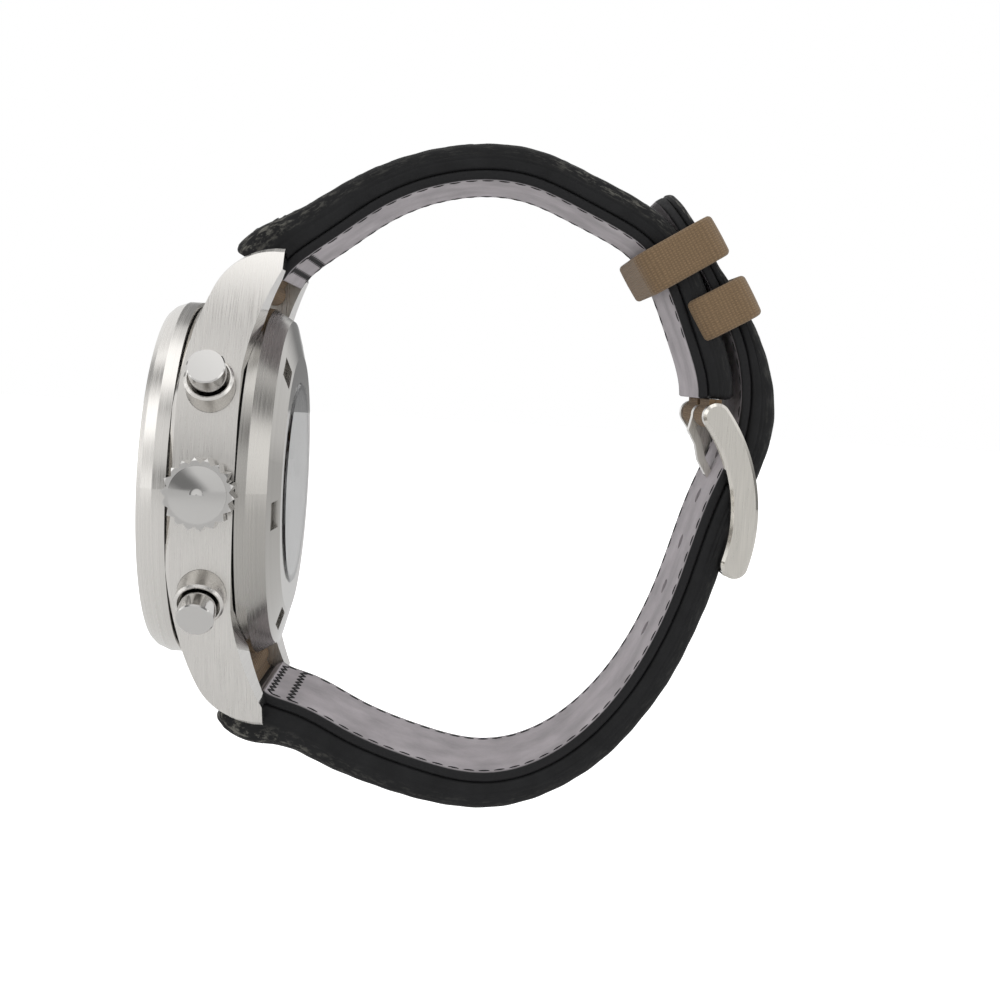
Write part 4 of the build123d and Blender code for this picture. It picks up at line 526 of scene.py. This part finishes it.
def route_through(points, first_way, last_way, turn):
    """Cubic arcs through the points. Their slopes m solve h1 m0 + 2 (h0 + h1) m1 + h0 m2 =
    3 (h1 d0 + h0 d1), which makes the bend continuous, h being spans and d chord slopes."""
    points = np.asarray(points)
    chords = np.diff(points, axis=0)
    span = np.linalg.norm(chords, axis=1)
    rise = chords / span[:, None]
    count = len(points)
    system, known = np.eye(count), np.zeros((count, 2))
    known[0] = np.array(first_way) / np.linalg.norm(first_way)
    known[-1] = np.array(last_way) / np.linalg.norm(last_way)
    inner = np.arange(1, count - 1)
    system[inner, inner - 1] = span[1:]
    system[inner, inner] = 2 * (span[:-1] + span[1:])
    system[inner, inner + 1] = span[:-1]
    known[1:-1] = 3 * (span[1:, None] * rise[:-1] + span[:-1, None] * rise[1:])
    slope = np.linalg.solve(system, known)
    knots = np.concatenate([[0], np.cumsum(span)])
    t = np.linspace(0, knots[-1], 3000)
    k = np.clip(np.searchsorted(knots, t, side="right") - 1, 0, count - 2)
    h = span[k][:, None]
    s = (t - knots[k])[:, None] / h
    place = ((1 + 2 * s) * (1 - s)**2 * points[k] + s * (1 - s)**2 * h * slope[k]
             + s**2 * (3 - 2 * s) * points[k + 1] + s**2 * (s - 1) * h * slope[k + 1])
    way = np.gradient(place, axis=0)
    way /= np.linalg.norm(way, axis=1)[:, None]
    length = np.linalg.norm(np.diff(place, axis=0), axis=1).sum()
    return {"share": t / knots[-1], "place": place, "way": way, "length": length, "turn": turn}


def on_route(route, share):
    """Place and way on a route, and the way out from the wrist, at shares of its length."""
    place = np.stack([np.interp(share, route["share"], route["place"][:, axis]) for axis in (0, 1)], -1)
    way = np.stack([np.interp(share, route["share"], route["way"][:, axis]) for axis in (0, 1)], -1)
    out = np.stack([-way[..., 1], way[..., 0]], -1) * route["turn"]
    past_end = np.clip(np.asarray(share) - 1, 0, None) * route["length"]
    return place + way * past_end[..., None], way, out


top_points = [lug_end, *(np.array(top_shares) * loop_size), buckle_bar + (0, end_gap)]
tail_points = [lug_end * (1, -1), *(np.array(tail_shares) * loop_size)]
top_route = route_through(top_points, (1.1, 2.05), (0, -1), 1)
tail_route = route_through(tail_points, (1.1, -2.05), tail_points[-1] - tail_points[-2], -1)
for route, half in ((top_route, "top"), (tail_route, "tail")):
    quarter_places = on_route(route, np.array([0.25, 0.5, 0.75]))[0] / millimetre
    print(half, "route", round(route["length"] / millimetre, 2), "mm, quarters at", quarter_places.round(2).tolist())

# %% [markdown]
# ## Leather, lining and thread
# The outer leather is thick, near black and painted on its edges, which have worn grey at the
# corners. The lining is a thin pebbled leather. A plain extrusion would look moulded, so the
# section has rounded edges, a slight crown and a little waviness along its length, and the wear
# is a value on each point that the material reads.

# %% Strap halves
lug_thickness, strap_thickness, tip_thickness = 5.3 * millimetre, 4.1 * millimetre, 2.0 * millimetre
lining_thickness = 1.1 * millimetre
wrist_reach = 32 * millimetre
half_width_ends = (10.3 * millimetre, 9.1 * millimetre)
tip_radius = 6.5 * millimetre
lug_swell, lug_swell_length = 1.3, 4.5  # in mm, as the place along the strap is
wave_height = 0.03  # in mm
tip_overhang = 1.3 * millimetre
edge_fold = 0.10 * millimetre
outer_crown = 0.30 * millimetre
hole_radius, cutter_reach = 0.9 * millimetre, 4 * millimetre


def end_share(route):
    """The tail runs a little past the end of its route, which the CAD solid doesn't."""
    return 1 + (tip_overhang / route["length"] if route is tail_route else 0)


def thickness_at(route, share):
    thickness = np.interp(share, (0.0, 0.3), (lug_thickness, strap_thickness))
    if route is tail_route:
        thickness = thickness + np.interp(share, (0.76, 0.92), (0, tip_thickness - strap_thickness))
    return thickness


def half_width_at(route, share, place):
    """The strap narrows towards the buckle, and the tail ends in two quarter circles."""
    width = np.interp(place[..., 0], (-wrist_reach, wrist_reach), half_width_ends)
    if route is tail_route:
        from_tip = np.clip((end_share(route) - share) * route["length"], 0, tip_radius)
        width = width - tip_radius + np.sqrt(np.clip(tip_radius**2 - (tip_radius - from_tip)**2, 0, None))
    return width


def strap_rings(route, upper_share, lower_share, corner, crown, narrower):
    """Rounded sections carried along a route, between two depths of its thickness."""
    ends = 0.5 * (1 - np.cos(np.linspace(0, np.pi / 2, 6)))
    share = np.concatenate([ends * 0.006, np.linspace(0.008, 0.94, 230), np.linspace(0.943, 0.9985, 50),
                            1 - ends[::-1] * 0.001]) * end_share(route)
    place, way, out = on_route(route, share)
    thickness = thickness_at(route, share)
    upper, lower = upper_share(thickness), lower_share(thickness)
    half_depth, middle = (upper - lower) / 2, (upper + lower) / 2
    half_width = half_width_at(route, share, place) - narrower
    from_end = np.minimum(share, end_share(route) - share) * route["length"]
    rounded = corner * (1 - np.sqrt(1 - (1 - np.clip(from_end / corner, 0, 1))**2))
    half_depth, half_width = half_depth - 0.8 * rounded, half_width - rounded
    radius = np.minimum(corner, 0.95 * half_depth)
    p, q, c, s = outline_factors(30, 14 if crown else 4, 6)
    w = p * (half_width - radius)[:, None] + c * radius[:, None]
    d = q * (half_depth - radius)[:, None] + s * radius[:, None]
    relative = np.clip(np.abs(w) / half_width[:, None], 0, 1)
    along = (share * route["length"] / millimetre)[:, None]
    outer = np.clip(q, 0, 1)
    if crown:
        wave = (wave_height * np.sin(0.55 * along + 2 * relative)
                + wave_height * np.sin(1.9 * along + 1.7) * relative**4)
        d = d + outer * millimetre * (wave + lug_swell * np.exp(-(along / lug_swell_length)**2))
        folds = np.exp(-((q + 0.25) / 0.16)**2) + 0.7 * np.exp(-((q - 0.35) / 0.12)**2)
        w = w - np.sign(p) * (np.abs(c) > 0.99) * edge_fold * folds * (1 + 0.3 * np.sin(0.8 * along))
    d = d + outer * crown * (1 - relative**2)
    across_place = np.broadcast_to(w, d.shape)
    xz = place[:, None, :] + out[:, None, :] * (middle[:, None] + d)[..., None]
    rings = np.stack([xz[..., 0], across_place, xz[..., 1]], -1)
    near_lug = np.exp(-along / 7)
    near_keepers = np.exp(-((share[:, None] - 0.62) / 0.10)**2) if route is top_route else share[:, None]**12
    corner_here = np.exp(-((relative - 0.98) / 0.045)**2) * np.clip(q, 0, 1)
    wear = np.clip(corner_here * (0.12 + near_lug + 0.8 * near_keepers) + 0.45 * near_lug * outer * relative, 0, 1)
    return rings, wear


def raised(route, share, across):
    """How far the outer face stands above its plain depth, across being a share of half the width."""
    along = share * route["length"] / millimetre
    return outer_crown * (1 - across**2) + millimetre * lug_swell * np.exp(-(along / lug_swell_length)**2)


def full(thickness):
    return thickness / 2


def at_lining(thickness):
    return lining_thickness - thickness / 2


def at_wrist(thickness):
    return -thickness / 2


def cut_holes(piece, shares):
    """Punches round holes through the tail, each cutter a cylinder along the way out."""
    cutters = []
    for share in shares:
        place, way, out = on_route(tail_route, np.array([share]))
        angle = np.linspace(0, 2 * np.pi, 25)[:-1]
        across = hole_radius * np.sin(angle)
        flat = place[0] + way[0] * hole_radius * np.cos(angle)[:, None]
        rings = np.stack([np.stack([flat[:, 0] + out[0, 0] * r, across, flat[:, 1] + out[0, 1] * r], -1)
                          for r in (-cutter_reach, cutter_reach)])
        points, quads, caps, _ = skin(rings)
        mesh = bpy.data.meshes.new("cutter")
        mesh.from_pydata(points.tolist(), [], quads + caps)
        cutter = bpy.data.objects.new("cutter", mesh)
        bpy.context.scene.collection.objects.link(cutter)
        modifier = piece.modifiers.new("hole", "BOOLEAN")
        modifier.operation, modifier.solver, modifier.object = "DIFFERENCE", "EXACT", cutter
        cutters.append(cutter)
    graph = bpy.context.evaluated_depsgraph_get()
    cut = bpy.data.meshes.new_from_object(piece.evaluated_get(graph))
    piece.modifiers.clear()
    piece.data = cut
    for cutter in cutters:
        bpy.data.objects.remove(cutter)


# %% Leather and lining materials
scuff_size = (0.0016, 0.00035)


def grained_leather(name, colour, worn_colour, pebble, depth, roughness, worn, shine, in_specks=True):
    """Pebbled grain from two sizes of cells, uneven colour, and wear where the points say so."""
    material, tree, shader = new_material(name, colour, roughness)
    shader.inputs["Specular IOR Level"].default_value = shine
    pattern = own_pattern(tree, (1 / pebble, 1 / pebble, 1))
    cells = add_node(tree, "ShaderNodeTexVoronoi", {"Scale": 1.0, "Randomness": 1.0}, feature="SMOOTH_F1")
    fine = add_node(tree, "ShaderNodeTexNoise", {"Scale": 2.6, "Detail": 5.0, "Roughness": 0.65})
    broad = add_node(tree, "ShaderNodeTexNoise", {"Scale": 0.16, "Detail": 3.0})
    for texture in (cells, fine, broad):
        wire(tree, pattern, "Vector", texture, "Vector")
    first = raise_surface(tree, shader, cells, "Distance", depth, 0.7)
    raise_surface(tree, shader, fine, "Fac", depth * 0.6, 0.6, first)
    wire(tree, spread(tree, fine, "Fac", roughness - 0.12, roughness + 0.12), "Result", shader, "Roughness")
    mottled = add_node(tree, "ShaderNodeMix", data_type="RGBA")
    mottled.inputs["A"].default_value = (*colour, 1)
    mottled.inputs["B"].default_value = (*[value * 1.5 for value in colour], 1)
    wire(tree, spread(tree, broad, "Fac", 0, 1), "Result", mottled, "Factor")
    points_wear = add_node(tree, "ShaderNodeAttribute", attribute_name="wear")
    scuffs = add_node(tree, "ShaderNodeTexNoise", {"Scale": 1.0, "Detail": 4.0, "Roughness": 0.75})
    wire(tree, own_pattern(tree, (1 / scuff_size[0], 1 / scuff_size[1], 1)), "Vector", scuffs, "Vector")
    specks = add_node(tree, "ShaderNodeMath", operation="MULTIPLY")
    wire(tree, points_wear, "Fac", specks, 0)
    specks.inputs[1].default_value = 1.0
    if in_specks:
        wire(tree, spread(tree, scuffs, "Fac", 0, 1, 0.50, 0.62), "Result", specks, 1)
    amount = add_node(tree, "ShaderNodeMath", operation="MULTIPLY")
    wire(tree, specks, "Value", amount, 0)
    amount.inputs[1].default_value = worn
    finished_colour = add_node(tree, "ShaderNodeMix", data_type="RGBA")
    finished_colour.inputs["B"].default_value = (*worn_colour, 1)
    wire(tree, amount, "Value", finished_colour, "Factor")
    wire(tree, mottled, "Result", finished_colour, "A")
    wire(tree, finished_colour, "Result", shader, "Base Color")
    return material


outer_leather = grained_leather("leather_black", (0.011, 0.0112, 0.0118), (0.17, 0.165, 0.145), 0.0005, 0.00005,
                                0.5, 0.9, 0.16)
lining_leather = grained_leather("lining_mauve", (0.33, 0.305, 0.32), (0.008, 0.008, 0.009), 0.00085, 0.00007,
                                 0.6, 1.0, 0.3, False)

# %% Build the leather and the lining
hole_pitch = 6 * millimetre
tang_share = 0.667
hole_shares = [tang_share + step * hole_pitch / tail_route["length"] for step in (-3, -2, -1, 1)]
for route, half, cad_leather, cad_lining in ((top_route, "top", "strap_top", "lining_top"),
                                             (tail_route, "tail", "strap_bottom", "lining_bottom")):
    rings, edge = strap_rings(route, full, at_lining, 0.75 * millimetre, outer_crown, 0)
    leather = make_piece(half + "_leather", [skin(rings)], outer_leather, "case", edge)
    rings, edge = strap_rings(route, at_lining, at_wrist, 0.35 * millimetre, 0, 0.12 * millimetre)
    from_edge = np.abs(rings[..., 1]).max(1)[:, None] - np.abs(rings[..., 1])
    edge_paint = 1 - np.clip((from_edge - 0.30 * millimetre) / (0.15 * millimetre), 0, 1)
    lining = make_piece(half + "_lining", [skin(rings)], lining_leather, "case", edge_paint)
    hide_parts(cad_leather)
    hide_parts(cad_lining)
    if route is tail_route:
        for piece in (leather, lining):
            cut_holes(piece, hole_shares + [tang_share])
    print(half, "leather", len(leather.data.polygons), "faces, lining", len(lining.data.polygons))

# %% [markdown]
# ## Thread
# A line of black thread runs near each edge, on the lining and on the outer leather, and two
# rows cross the strap near each lug. A stitch is a short fat grain that dips at both ends, so
# one small shape with a few dozen faces is copied to every place by arrays.

# %% Stitches
stitch_pitch = 2.1 * millimetre
stitch_size = millimetre * np.array([0.72, 0.20, 0.13])
sunk = 0.07 * millimetre
edge_inset, cross_inset = 1.35 * millimetre, 1.9 * millimetre
cross_pitch, cross_slant = 0.95 * millimetre, 0.75
cross_rows = (2.4 * millimetre, 5.2 * millimetre)
thread = paint("thread_black", (0.012, 0.012, 0.013), 0.75, 0.00012, 0.00002)


def stitch_skins(places, ways, sides, outs):
    """An ellipsoid at each place: half lengths along, across and out, on a small grid."""
    tilt = np.radians(np.linspace(-78, 78, 6))[:, None]
    turn = np.linspace(0, 2 * np.pi, 9)[:-1][None]
    a = np.broadcast_to(np.sin(tilt), (6, 8)) * stitch_size[0]
    b = np.cos(tilt) * np.cos(turn) * stitch_size[1]
    c = np.cos(tilt) * np.sin(turn) * stitch_size[2]
    shape = (places[:, None, None] + ways[:, None, None] * a[..., None]
             + sides[:, None, None] * b[..., None] + outs[:, None, None] * c[..., None])
    return [skin(rings) for rings in shape]


def spatial(flat, side=0.0):
    """A place or way in the plane of the loop, with its distance across the strap."""
    return np.stack([flat[..., 0], np.broadcast_to(side, flat.shape[:-1]), flat[..., 1]], -1)


def seam(route, start, end, face, inset):
    """Stitches along both edges of one face of a strap half, between two shares."""
    share = np.arange(start, end, stitch_pitch / route["length"])
    place, way, out = on_route(route, share)
    depth = face * thickness_at(route, share) / 2
    found = []
    for side in (-1, 1):
        half_width = half_width_at(route, share, place) - inset
        level = depth + (raised(route, share, half_width / (half_width + inset)) - sunk if face > 0 else 0)
        places = spatial(place + out * level[:, None], side * half_width)
        ways, outs = spatial(way), spatial(out) * face
        found += stitch_skins(places, ways, np.cross(ways, outs), outs)
    return found


def cross_seam(route, share, face, inset):
    """One row of stitches across a strap half."""
    place, way, out = on_route(route, np.array([share]))
    half_width = half_width_at(route, np.array([share]), place)[0] - inset
    sides = np.arange(-half_width, half_width, cross_pitch)
    depth = face * thickness_at(route, np.array([share]))[0] / 2 * np.ones(len(sides))
    if face > 0:
        depth = depth + raised(route, share, sides / (half_width + inset)) - sunk
    places = spatial(place + out * depth[:, None], sides)
    slant = np.where(np.arange(len(sides)) % 2, cross_slant, -cross_slant)[:, None]
    ways = np.array([[0.0, 1.0, 0.0]]) * slant + spatial(way) * np.sqrt(1 - slant**2)
    outs = np.repeat(spatial(out) * face, len(sides), 0)
    return stitch_skins(places, ways, np.cross(ways, outs), outs)


for route, half, last in ((top_route, "top", 0.90), (tail_route, "tail", 0.95)):
    skins = []
    for face in (-1, 1):
        skins += seam(route, 0.03, last, face, edge_inset)
        for distance in cross_rows:
            skins += cross_seam(route, distance / route["length"], face, cross_inset)
    stitches = make_piece(half + "_stitches", skins, thread, "case")
    print(half, len(skins), "stitches,", len(stitches.data.polygons), "faces")

# %% [markdown]
# ## Woven loops and keepers
# Tan woven band is folded round each bar and sewn into the strap, and two closed bands keep the
# tail in place. A band is a ribbon with rounded selvedges; its ribs are real ridges in the mesh
# where it turns, and the finer weave is in the material.

# %% Woven material


def woven(name, colour, rib, depth):
    """Crossed ribs along and across the band, with uneven yarns, painted shade in the hollows of the weave, and a
    soft sheen.
    """
    material, tree, shader = new_material(name, colour, 0.85)
    shader.inputs["Sheen Weight"].default_value = 0.12
    shader.inputs["Sheen Roughness"].default_value = 0.5
    pattern = own_pattern(tree, (1, 1, 1))
    warp = add_node(tree, "ShaderNodeTexWave", {"Scale": 0.314 / rib, "Distortion": 0.5, "Detail": 1.0},
                    wave_type="BANDS", bands_direction="X")
    weft = add_node(tree, "ShaderNodeTexWave", {"Scale": 0.314 / (0.7 * rib), "Distortion": 0.5, "Detail": 1.0},
                    wave_type="BANDS", bands_direction="Y")
    yarn = add_node(tree, "ShaderNodeTexNoise", {"Scale": 3500.0, "Detail": 3.0, "Roughness": 0.6})
    for texture in (warp, weft, yarn):
        wire(tree, pattern, "Vector", texture, "Vector")
    weave = add_node(tree, "ShaderNodeMath", operation="MULTIPLY")
    wire(tree, warp, "Fac", weave, 0)
    wire(tree, weft, "Fac", weave, 1)
    first = raise_surface(tree, shader, weave, "Value", depth, 0.8)
    raise_surface(tree, shader, yarn, "Fac", depth * 0.5, 0.5, first)
    # Painted shade: the tan falls to 0.55 of itself in the hollows of the weave, where the bump is low, with random
    # yarn tone on top.
    shade = add_node(tree, "ShaderNodeMix", data_type="RGBA")
    shade.inputs["A"].default_value = (*[value * 0.55 for value in colour], 1)
    shade.inputs["B"].default_value = (*[min(1, value * 1.10) for value in colour], 1)
    uneven = add_node(tree, "ShaderNodeMath", operation="ADD")
    wire(tree, spread(tree, yarn, "Fac", -0.15, 0.15), "Result", uneven, 0)
    wire(tree, spread(tree, weave, "Value", 0.30, 0.85, 0.05, 0.6), "Result", uneven, 1)
    wire(tree, uneven, "Value", shade, "Factor")
    wire(tree, shade, "Result", shader, "Base Color")
    return material


tan_band = woven("band_tan", (0.232, 0.150, 0.078), 0.00042, 0.00007)

# %% Loops round the bars
bar_radius, loop_wall, web = 0.75 * millimetre, 0.70 * millimetre, 1.5 * millimetre
lug_bar = millimetre * np.array([-29.2, 23.2])


def loop_rings(bar, end, low, high):
    """A band folded round a bar: round it on the outside, then straight to the strap's end.
    The outline goes out along one side, round the bar and back, then returns inside itself."""
    run = end - bar
    length = np.linalg.norm(run) - 0.05 * millimetre
    along_run, aside = run / np.linalg.norm(run), np.array([-run[1], run[0]]) / np.linalg.norm(run)
    outer, inner = bar_radius + loop_wall, bar_radius + 0.04 * millimetre
    meet = np.arcsin(web / 2 / outer)
    turn = np.linspace(meet, 2 * np.pi - meet, 34)
    straight = np.linspace(1, 0, 8)[:-1]
    start = outer * np.cos(meet)
    out_x = np.concatenate([start + straight * (length - start), outer * np.cos(turn),
                            start + straight[::-1] * (length - start)])
    out_y = np.concatenate([np.full(7, web / 2), outer * np.sin(turn), np.full(7, -web / 2)])
    slit = 0.03 * millimetre
    close = np.arcsin(slit / inner)
    back = np.linspace(2 * np.pi - close, close, 30)
    start = inner * np.cos(close)
    in_x = np.concatenate([start + straight * (length - start), inner * np.cos(back),
                           start + straight[::-1] * (length - start)])
    in_y = np.concatenate([np.full(7, -slit), inner * np.sin(back), np.full(7, slit)])
    x, y = np.concatenate([out_x, in_x]), np.concatenate([out_y, in_y])
    sides = np.linspace(low, high, int((high - low) / (0.12 * millimetre)))
    outside = np.concatenate([np.ones(len(out_x)), np.zeros(len(in_x))])
    rib = 0.045 * millimetre * np.cos(sides / (0.62 * millimetre) * 2 * np.pi)
    size = np.hypot(x, y)
    grow = 1 + outside * rib[:, None] / np.maximum(size, bar_radius)
    edge = np.minimum(sides - low, high - sides)
    grow = grow - outside * (0.10 * np.exp(-edge / (0.15 * millimetre)))[:, None]
    flat = bar + along_run * (np.broadcast_to(x, grow.shape))[..., None] + aside * (y * grow)[..., None]
    return np.stack([flat[..., 0], np.broadcast_to(sides[:, None], grow.shape), flat[..., 1]], -1)


lug_half, buckle_half, hub_half = 10.2 * millimetre, 9.0 * millimetre, 1.15 * millimetre
loops = [skin(loop_rings(lug_bar, lug_end, -lug_half, lug_half)),
         skin(loop_rings(lug_bar * (1, -1), lug_end * (1, -1), -lug_half, lug_half))]
for low, high in ((-buckle_half, -hub_half), (hub_half, buckle_half)):
    loops.append(skin(loop_rings(buckle_bar, buckle_bar + (0, end_gap), low, high)))
woven_loops = make_piece("woven_loops", loops, tan_band, "case")
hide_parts("bar_loops")
print("woven loops", len(woven_loops.data.polygons), "faces")

# %% Keepers
keeper_width, keeper_wall, keeper_gap = 5.1 * millimetre, 1.25 * millimetre, 0.3 * millimetre


def keeper_rings(share, inner_face, cavity, tilt):
    """A closed band: a rounded oblong path across the strap, with a rounded thin section."""
    place, way, out = (found[0] for found in on_route(top_route, np.array([share])))
    middle = inner_face + cavity / 2
    centre = place + out * middle
    turn = np.radians(tilt)
    way = np.array([way[0] * np.cos(turn) - way[1] * np.sin(turn), way[0] * np.sin(turn) + way[1] * np.cos(turn)])
    out = np.array([-way[1], way[0]])
    half_width = np.interp(centre[0], (-wrist_reach, wrist_reach), half_width_ends) + keeper_gap
    p, q, c, s = outline_factors(40, 26, 16)
    corner = 1.8 * millimetre
    x = p * (half_width + keeper_wall / 2 - corner) + c * corner
    y = q * (cavity / 2 + keeper_wall / 2 - corner) + s * corner
    path = np.stack([centre[0] + out[0] * y, x, centre[1] + out[1] * y], -1)
    outwards = np.stack([out[0] * s, c, out[1] * s], -1)
    ridge = 0.035 * millimetre * np.cos(np.arange(len(x)) * 2.1) * np.exp(-((np.abs(q) - 1) / 0.35)**2)
    p2, q2, c2, s2 = outline_factors(16, 2, 5)
    edge = 0.52 * millimetre
    along_strap = p2 * (keeper_width / 2 - edge) + c2 * edge
    depth = q2 * (keeper_wall / 2 - edge) + s2 * edge
    swell = 0.07 * millimetre * (1 - (along_strap / keeper_width * 2)**2) * np.clip(q2, 0, 1)
    way3 = np.array([way[0], 0, way[1]])
    return (path[:, None] + outwards[:, None] * (depth + swell + ridge[:, None] * np.clip(q2, 0, 1))[..., None]
            + way3 * along_strap[None, :, None])


half_strap = strap_thickness / 2
free_inner = -half_strap - 0.9 * millimetre
fixed_inner = -half_strap + lining_thickness + 0.42 * millimetre + keeper_wall
keepers = (("free_band", "keeper_free", "keeper", 0.762, free_inner, 7.8 * millimetre, 0),
           ("fixed_band", "keeper_fixed", "case", 0.863, fixed_inner, 5.1 * millimetre, 8.0))
for name, node, body, share, inner_face, cavity, tilt in keepers:
    band = make_piece(name, [skin(keeper_rings(share, inner_face, cavity, tilt), True)], tan_band, body)
    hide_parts(node)
    print(name, len(band.data.polygons), "faces")

# %% [markdown]
# ## Printing on the dial
# The dial is printed with plain hour numbers and a minute track, and each small dial has a ring
# of marks. Print is thin paint, so every mark is a flat plate, and the numbers are text that is
# turned into a mesh before it gets its place. Where a small dial or the date window takes the
# room, the number is left out.

# %% Dial print
dial_level = 3.1 * millimetre
small_dial_level = dial_level - 0.12 * millimetre
print_depth = 0.02 * millimetre
print_white = paint("print_white", (0.80, 0.80, 0.76), 0.5, 0.0002, 0.000004)


def on_dial(x, y, level):
    """Points of the dial, x to 3 o'clock and y to 12, in the frame of the model."""
    return np.stack([np.broadcast_to(-wrist_reach - level, np.shape(x)), -np.asarray(x), np.asarray(y)], -1)


def marks(centre, inner, outer, width, angles, level):
    """Radial bars between two radii: a point lies at centre + r (sin a, cos a) + s (cos a, -sin a)."""
    found = []
    for angle in np.radians(angles):
        r = np.array([inner, outer, outer, inner])
        s = np.array([-width, -width, width, width]) / 2
        x = centre[0] + r * np.sin(angle) + s * np.cos(angle)
        y = centre[1] + r * np.cos(angle) - s * np.sin(angle)
        rings = np.stack([on_dial(x, y, level), on_dial(x, y, level + print_depth)])
        found.append(skin(rings))
    return found


middle_of_dial = np.zeros(2)
minutes = np.arange(60) * 6
small_dial_reach = 8 * millimetre
rings_of_marks = [  # centre, inner and outer radius and width in mm, angles, level
    (middle_of_dial, 15.1, 15.9, 0.14, [angle for angle in minutes if angle % 30], dial_level),
    (middle_of_dial, 14.9, 15.9, 0.45, minutes[::5], dial_level)]
for centre in ((0, small_dial_reach), (0, -small_dial_reach), (-small_dial_reach, 0)):
    rings_of_marks += [(centre, 3.55, 4.05, 0.10, [angle for angle in minutes[::2] if angle % 60], small_dial_level),
                       (centre, 3.25, 4.05, 0.20, minutes[::10], small_dial_level)]
prints = []
for centre, inner, outer, width, angles, level in rings_of_marks:
    prints += marks(centre, inner * millimetre, outer * millimetre, width * millimetre, angles, level)
dial_print = make_piece("dial_print", prints, print_white, "case")

number_size, number_weight, number_reach = 3.3 * millimetre, 0.08 * millimetre, 12.7 * millimetre
numbers = []
for hour in (1, 2, 4, 5, 7, 8, 10, 11):
    curve = bpy.data.curves.new("number", "FONT")
    curve.body = str(hour)
    curve.align_x, curve.align_y = "CENTER", "CENTER"
    curve.size = number_size
    curve.offset = number_weight
    curve.extrude = print_depth / 2
    curve.resolution_u = 6
    text = bpy.data.objects.new("number", curve)
    bpy.context.scene.collection.objects.link(text)
    bpy.context.view_layer.update()
    mesh = bpy.data.meshes.new_from_object(text.evaluated_get(bpy.context.evaluated_depsgraph_get()))
    bpy.data.objects.remove(text)
    flat = np.zeros(3 * len(mesh.vertices))
    mesh.vertices.foreach_get("co", flat)
    flat = flat.reshape(-1, 3)
    flat[:, :2] -= (flat[:, :2].min(0) + flat[:, :2].max(0)) / 2
    angle = np.radians(30 * hour)
    x, y = flat[:, 0] + number_reach * np.sin(angle), flat[:, 1] + number_reach * np.cos(angle)
    placed = on_dial(x, y, dial_level + print_depth / 2)
    placed[:, 0] -= flat[:, 2]
    mesh.vertices.foreach_set("co", placed.ravel())
    mesh.materials.clear()
    mesh.materials.append(print_white)
    number = bpy.data.objects.new("number_" + str(hour), mesh)
    bpy.context.scene.collection.objects.link(number)
    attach(number, "case")
    numbers.append(number)
print(len(prints), "marks and", len(numbers), "numbers on the dial")

# %% [markdown]
# ## Sizes
# The box of the dressed watch is printed, as the box of the CAD model was at the start.

# %% Print the box of the dressed watch
low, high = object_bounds()
print("visual box in mm:", [round(1000 * (b - a), 1) for a, b in zip(low, high)])
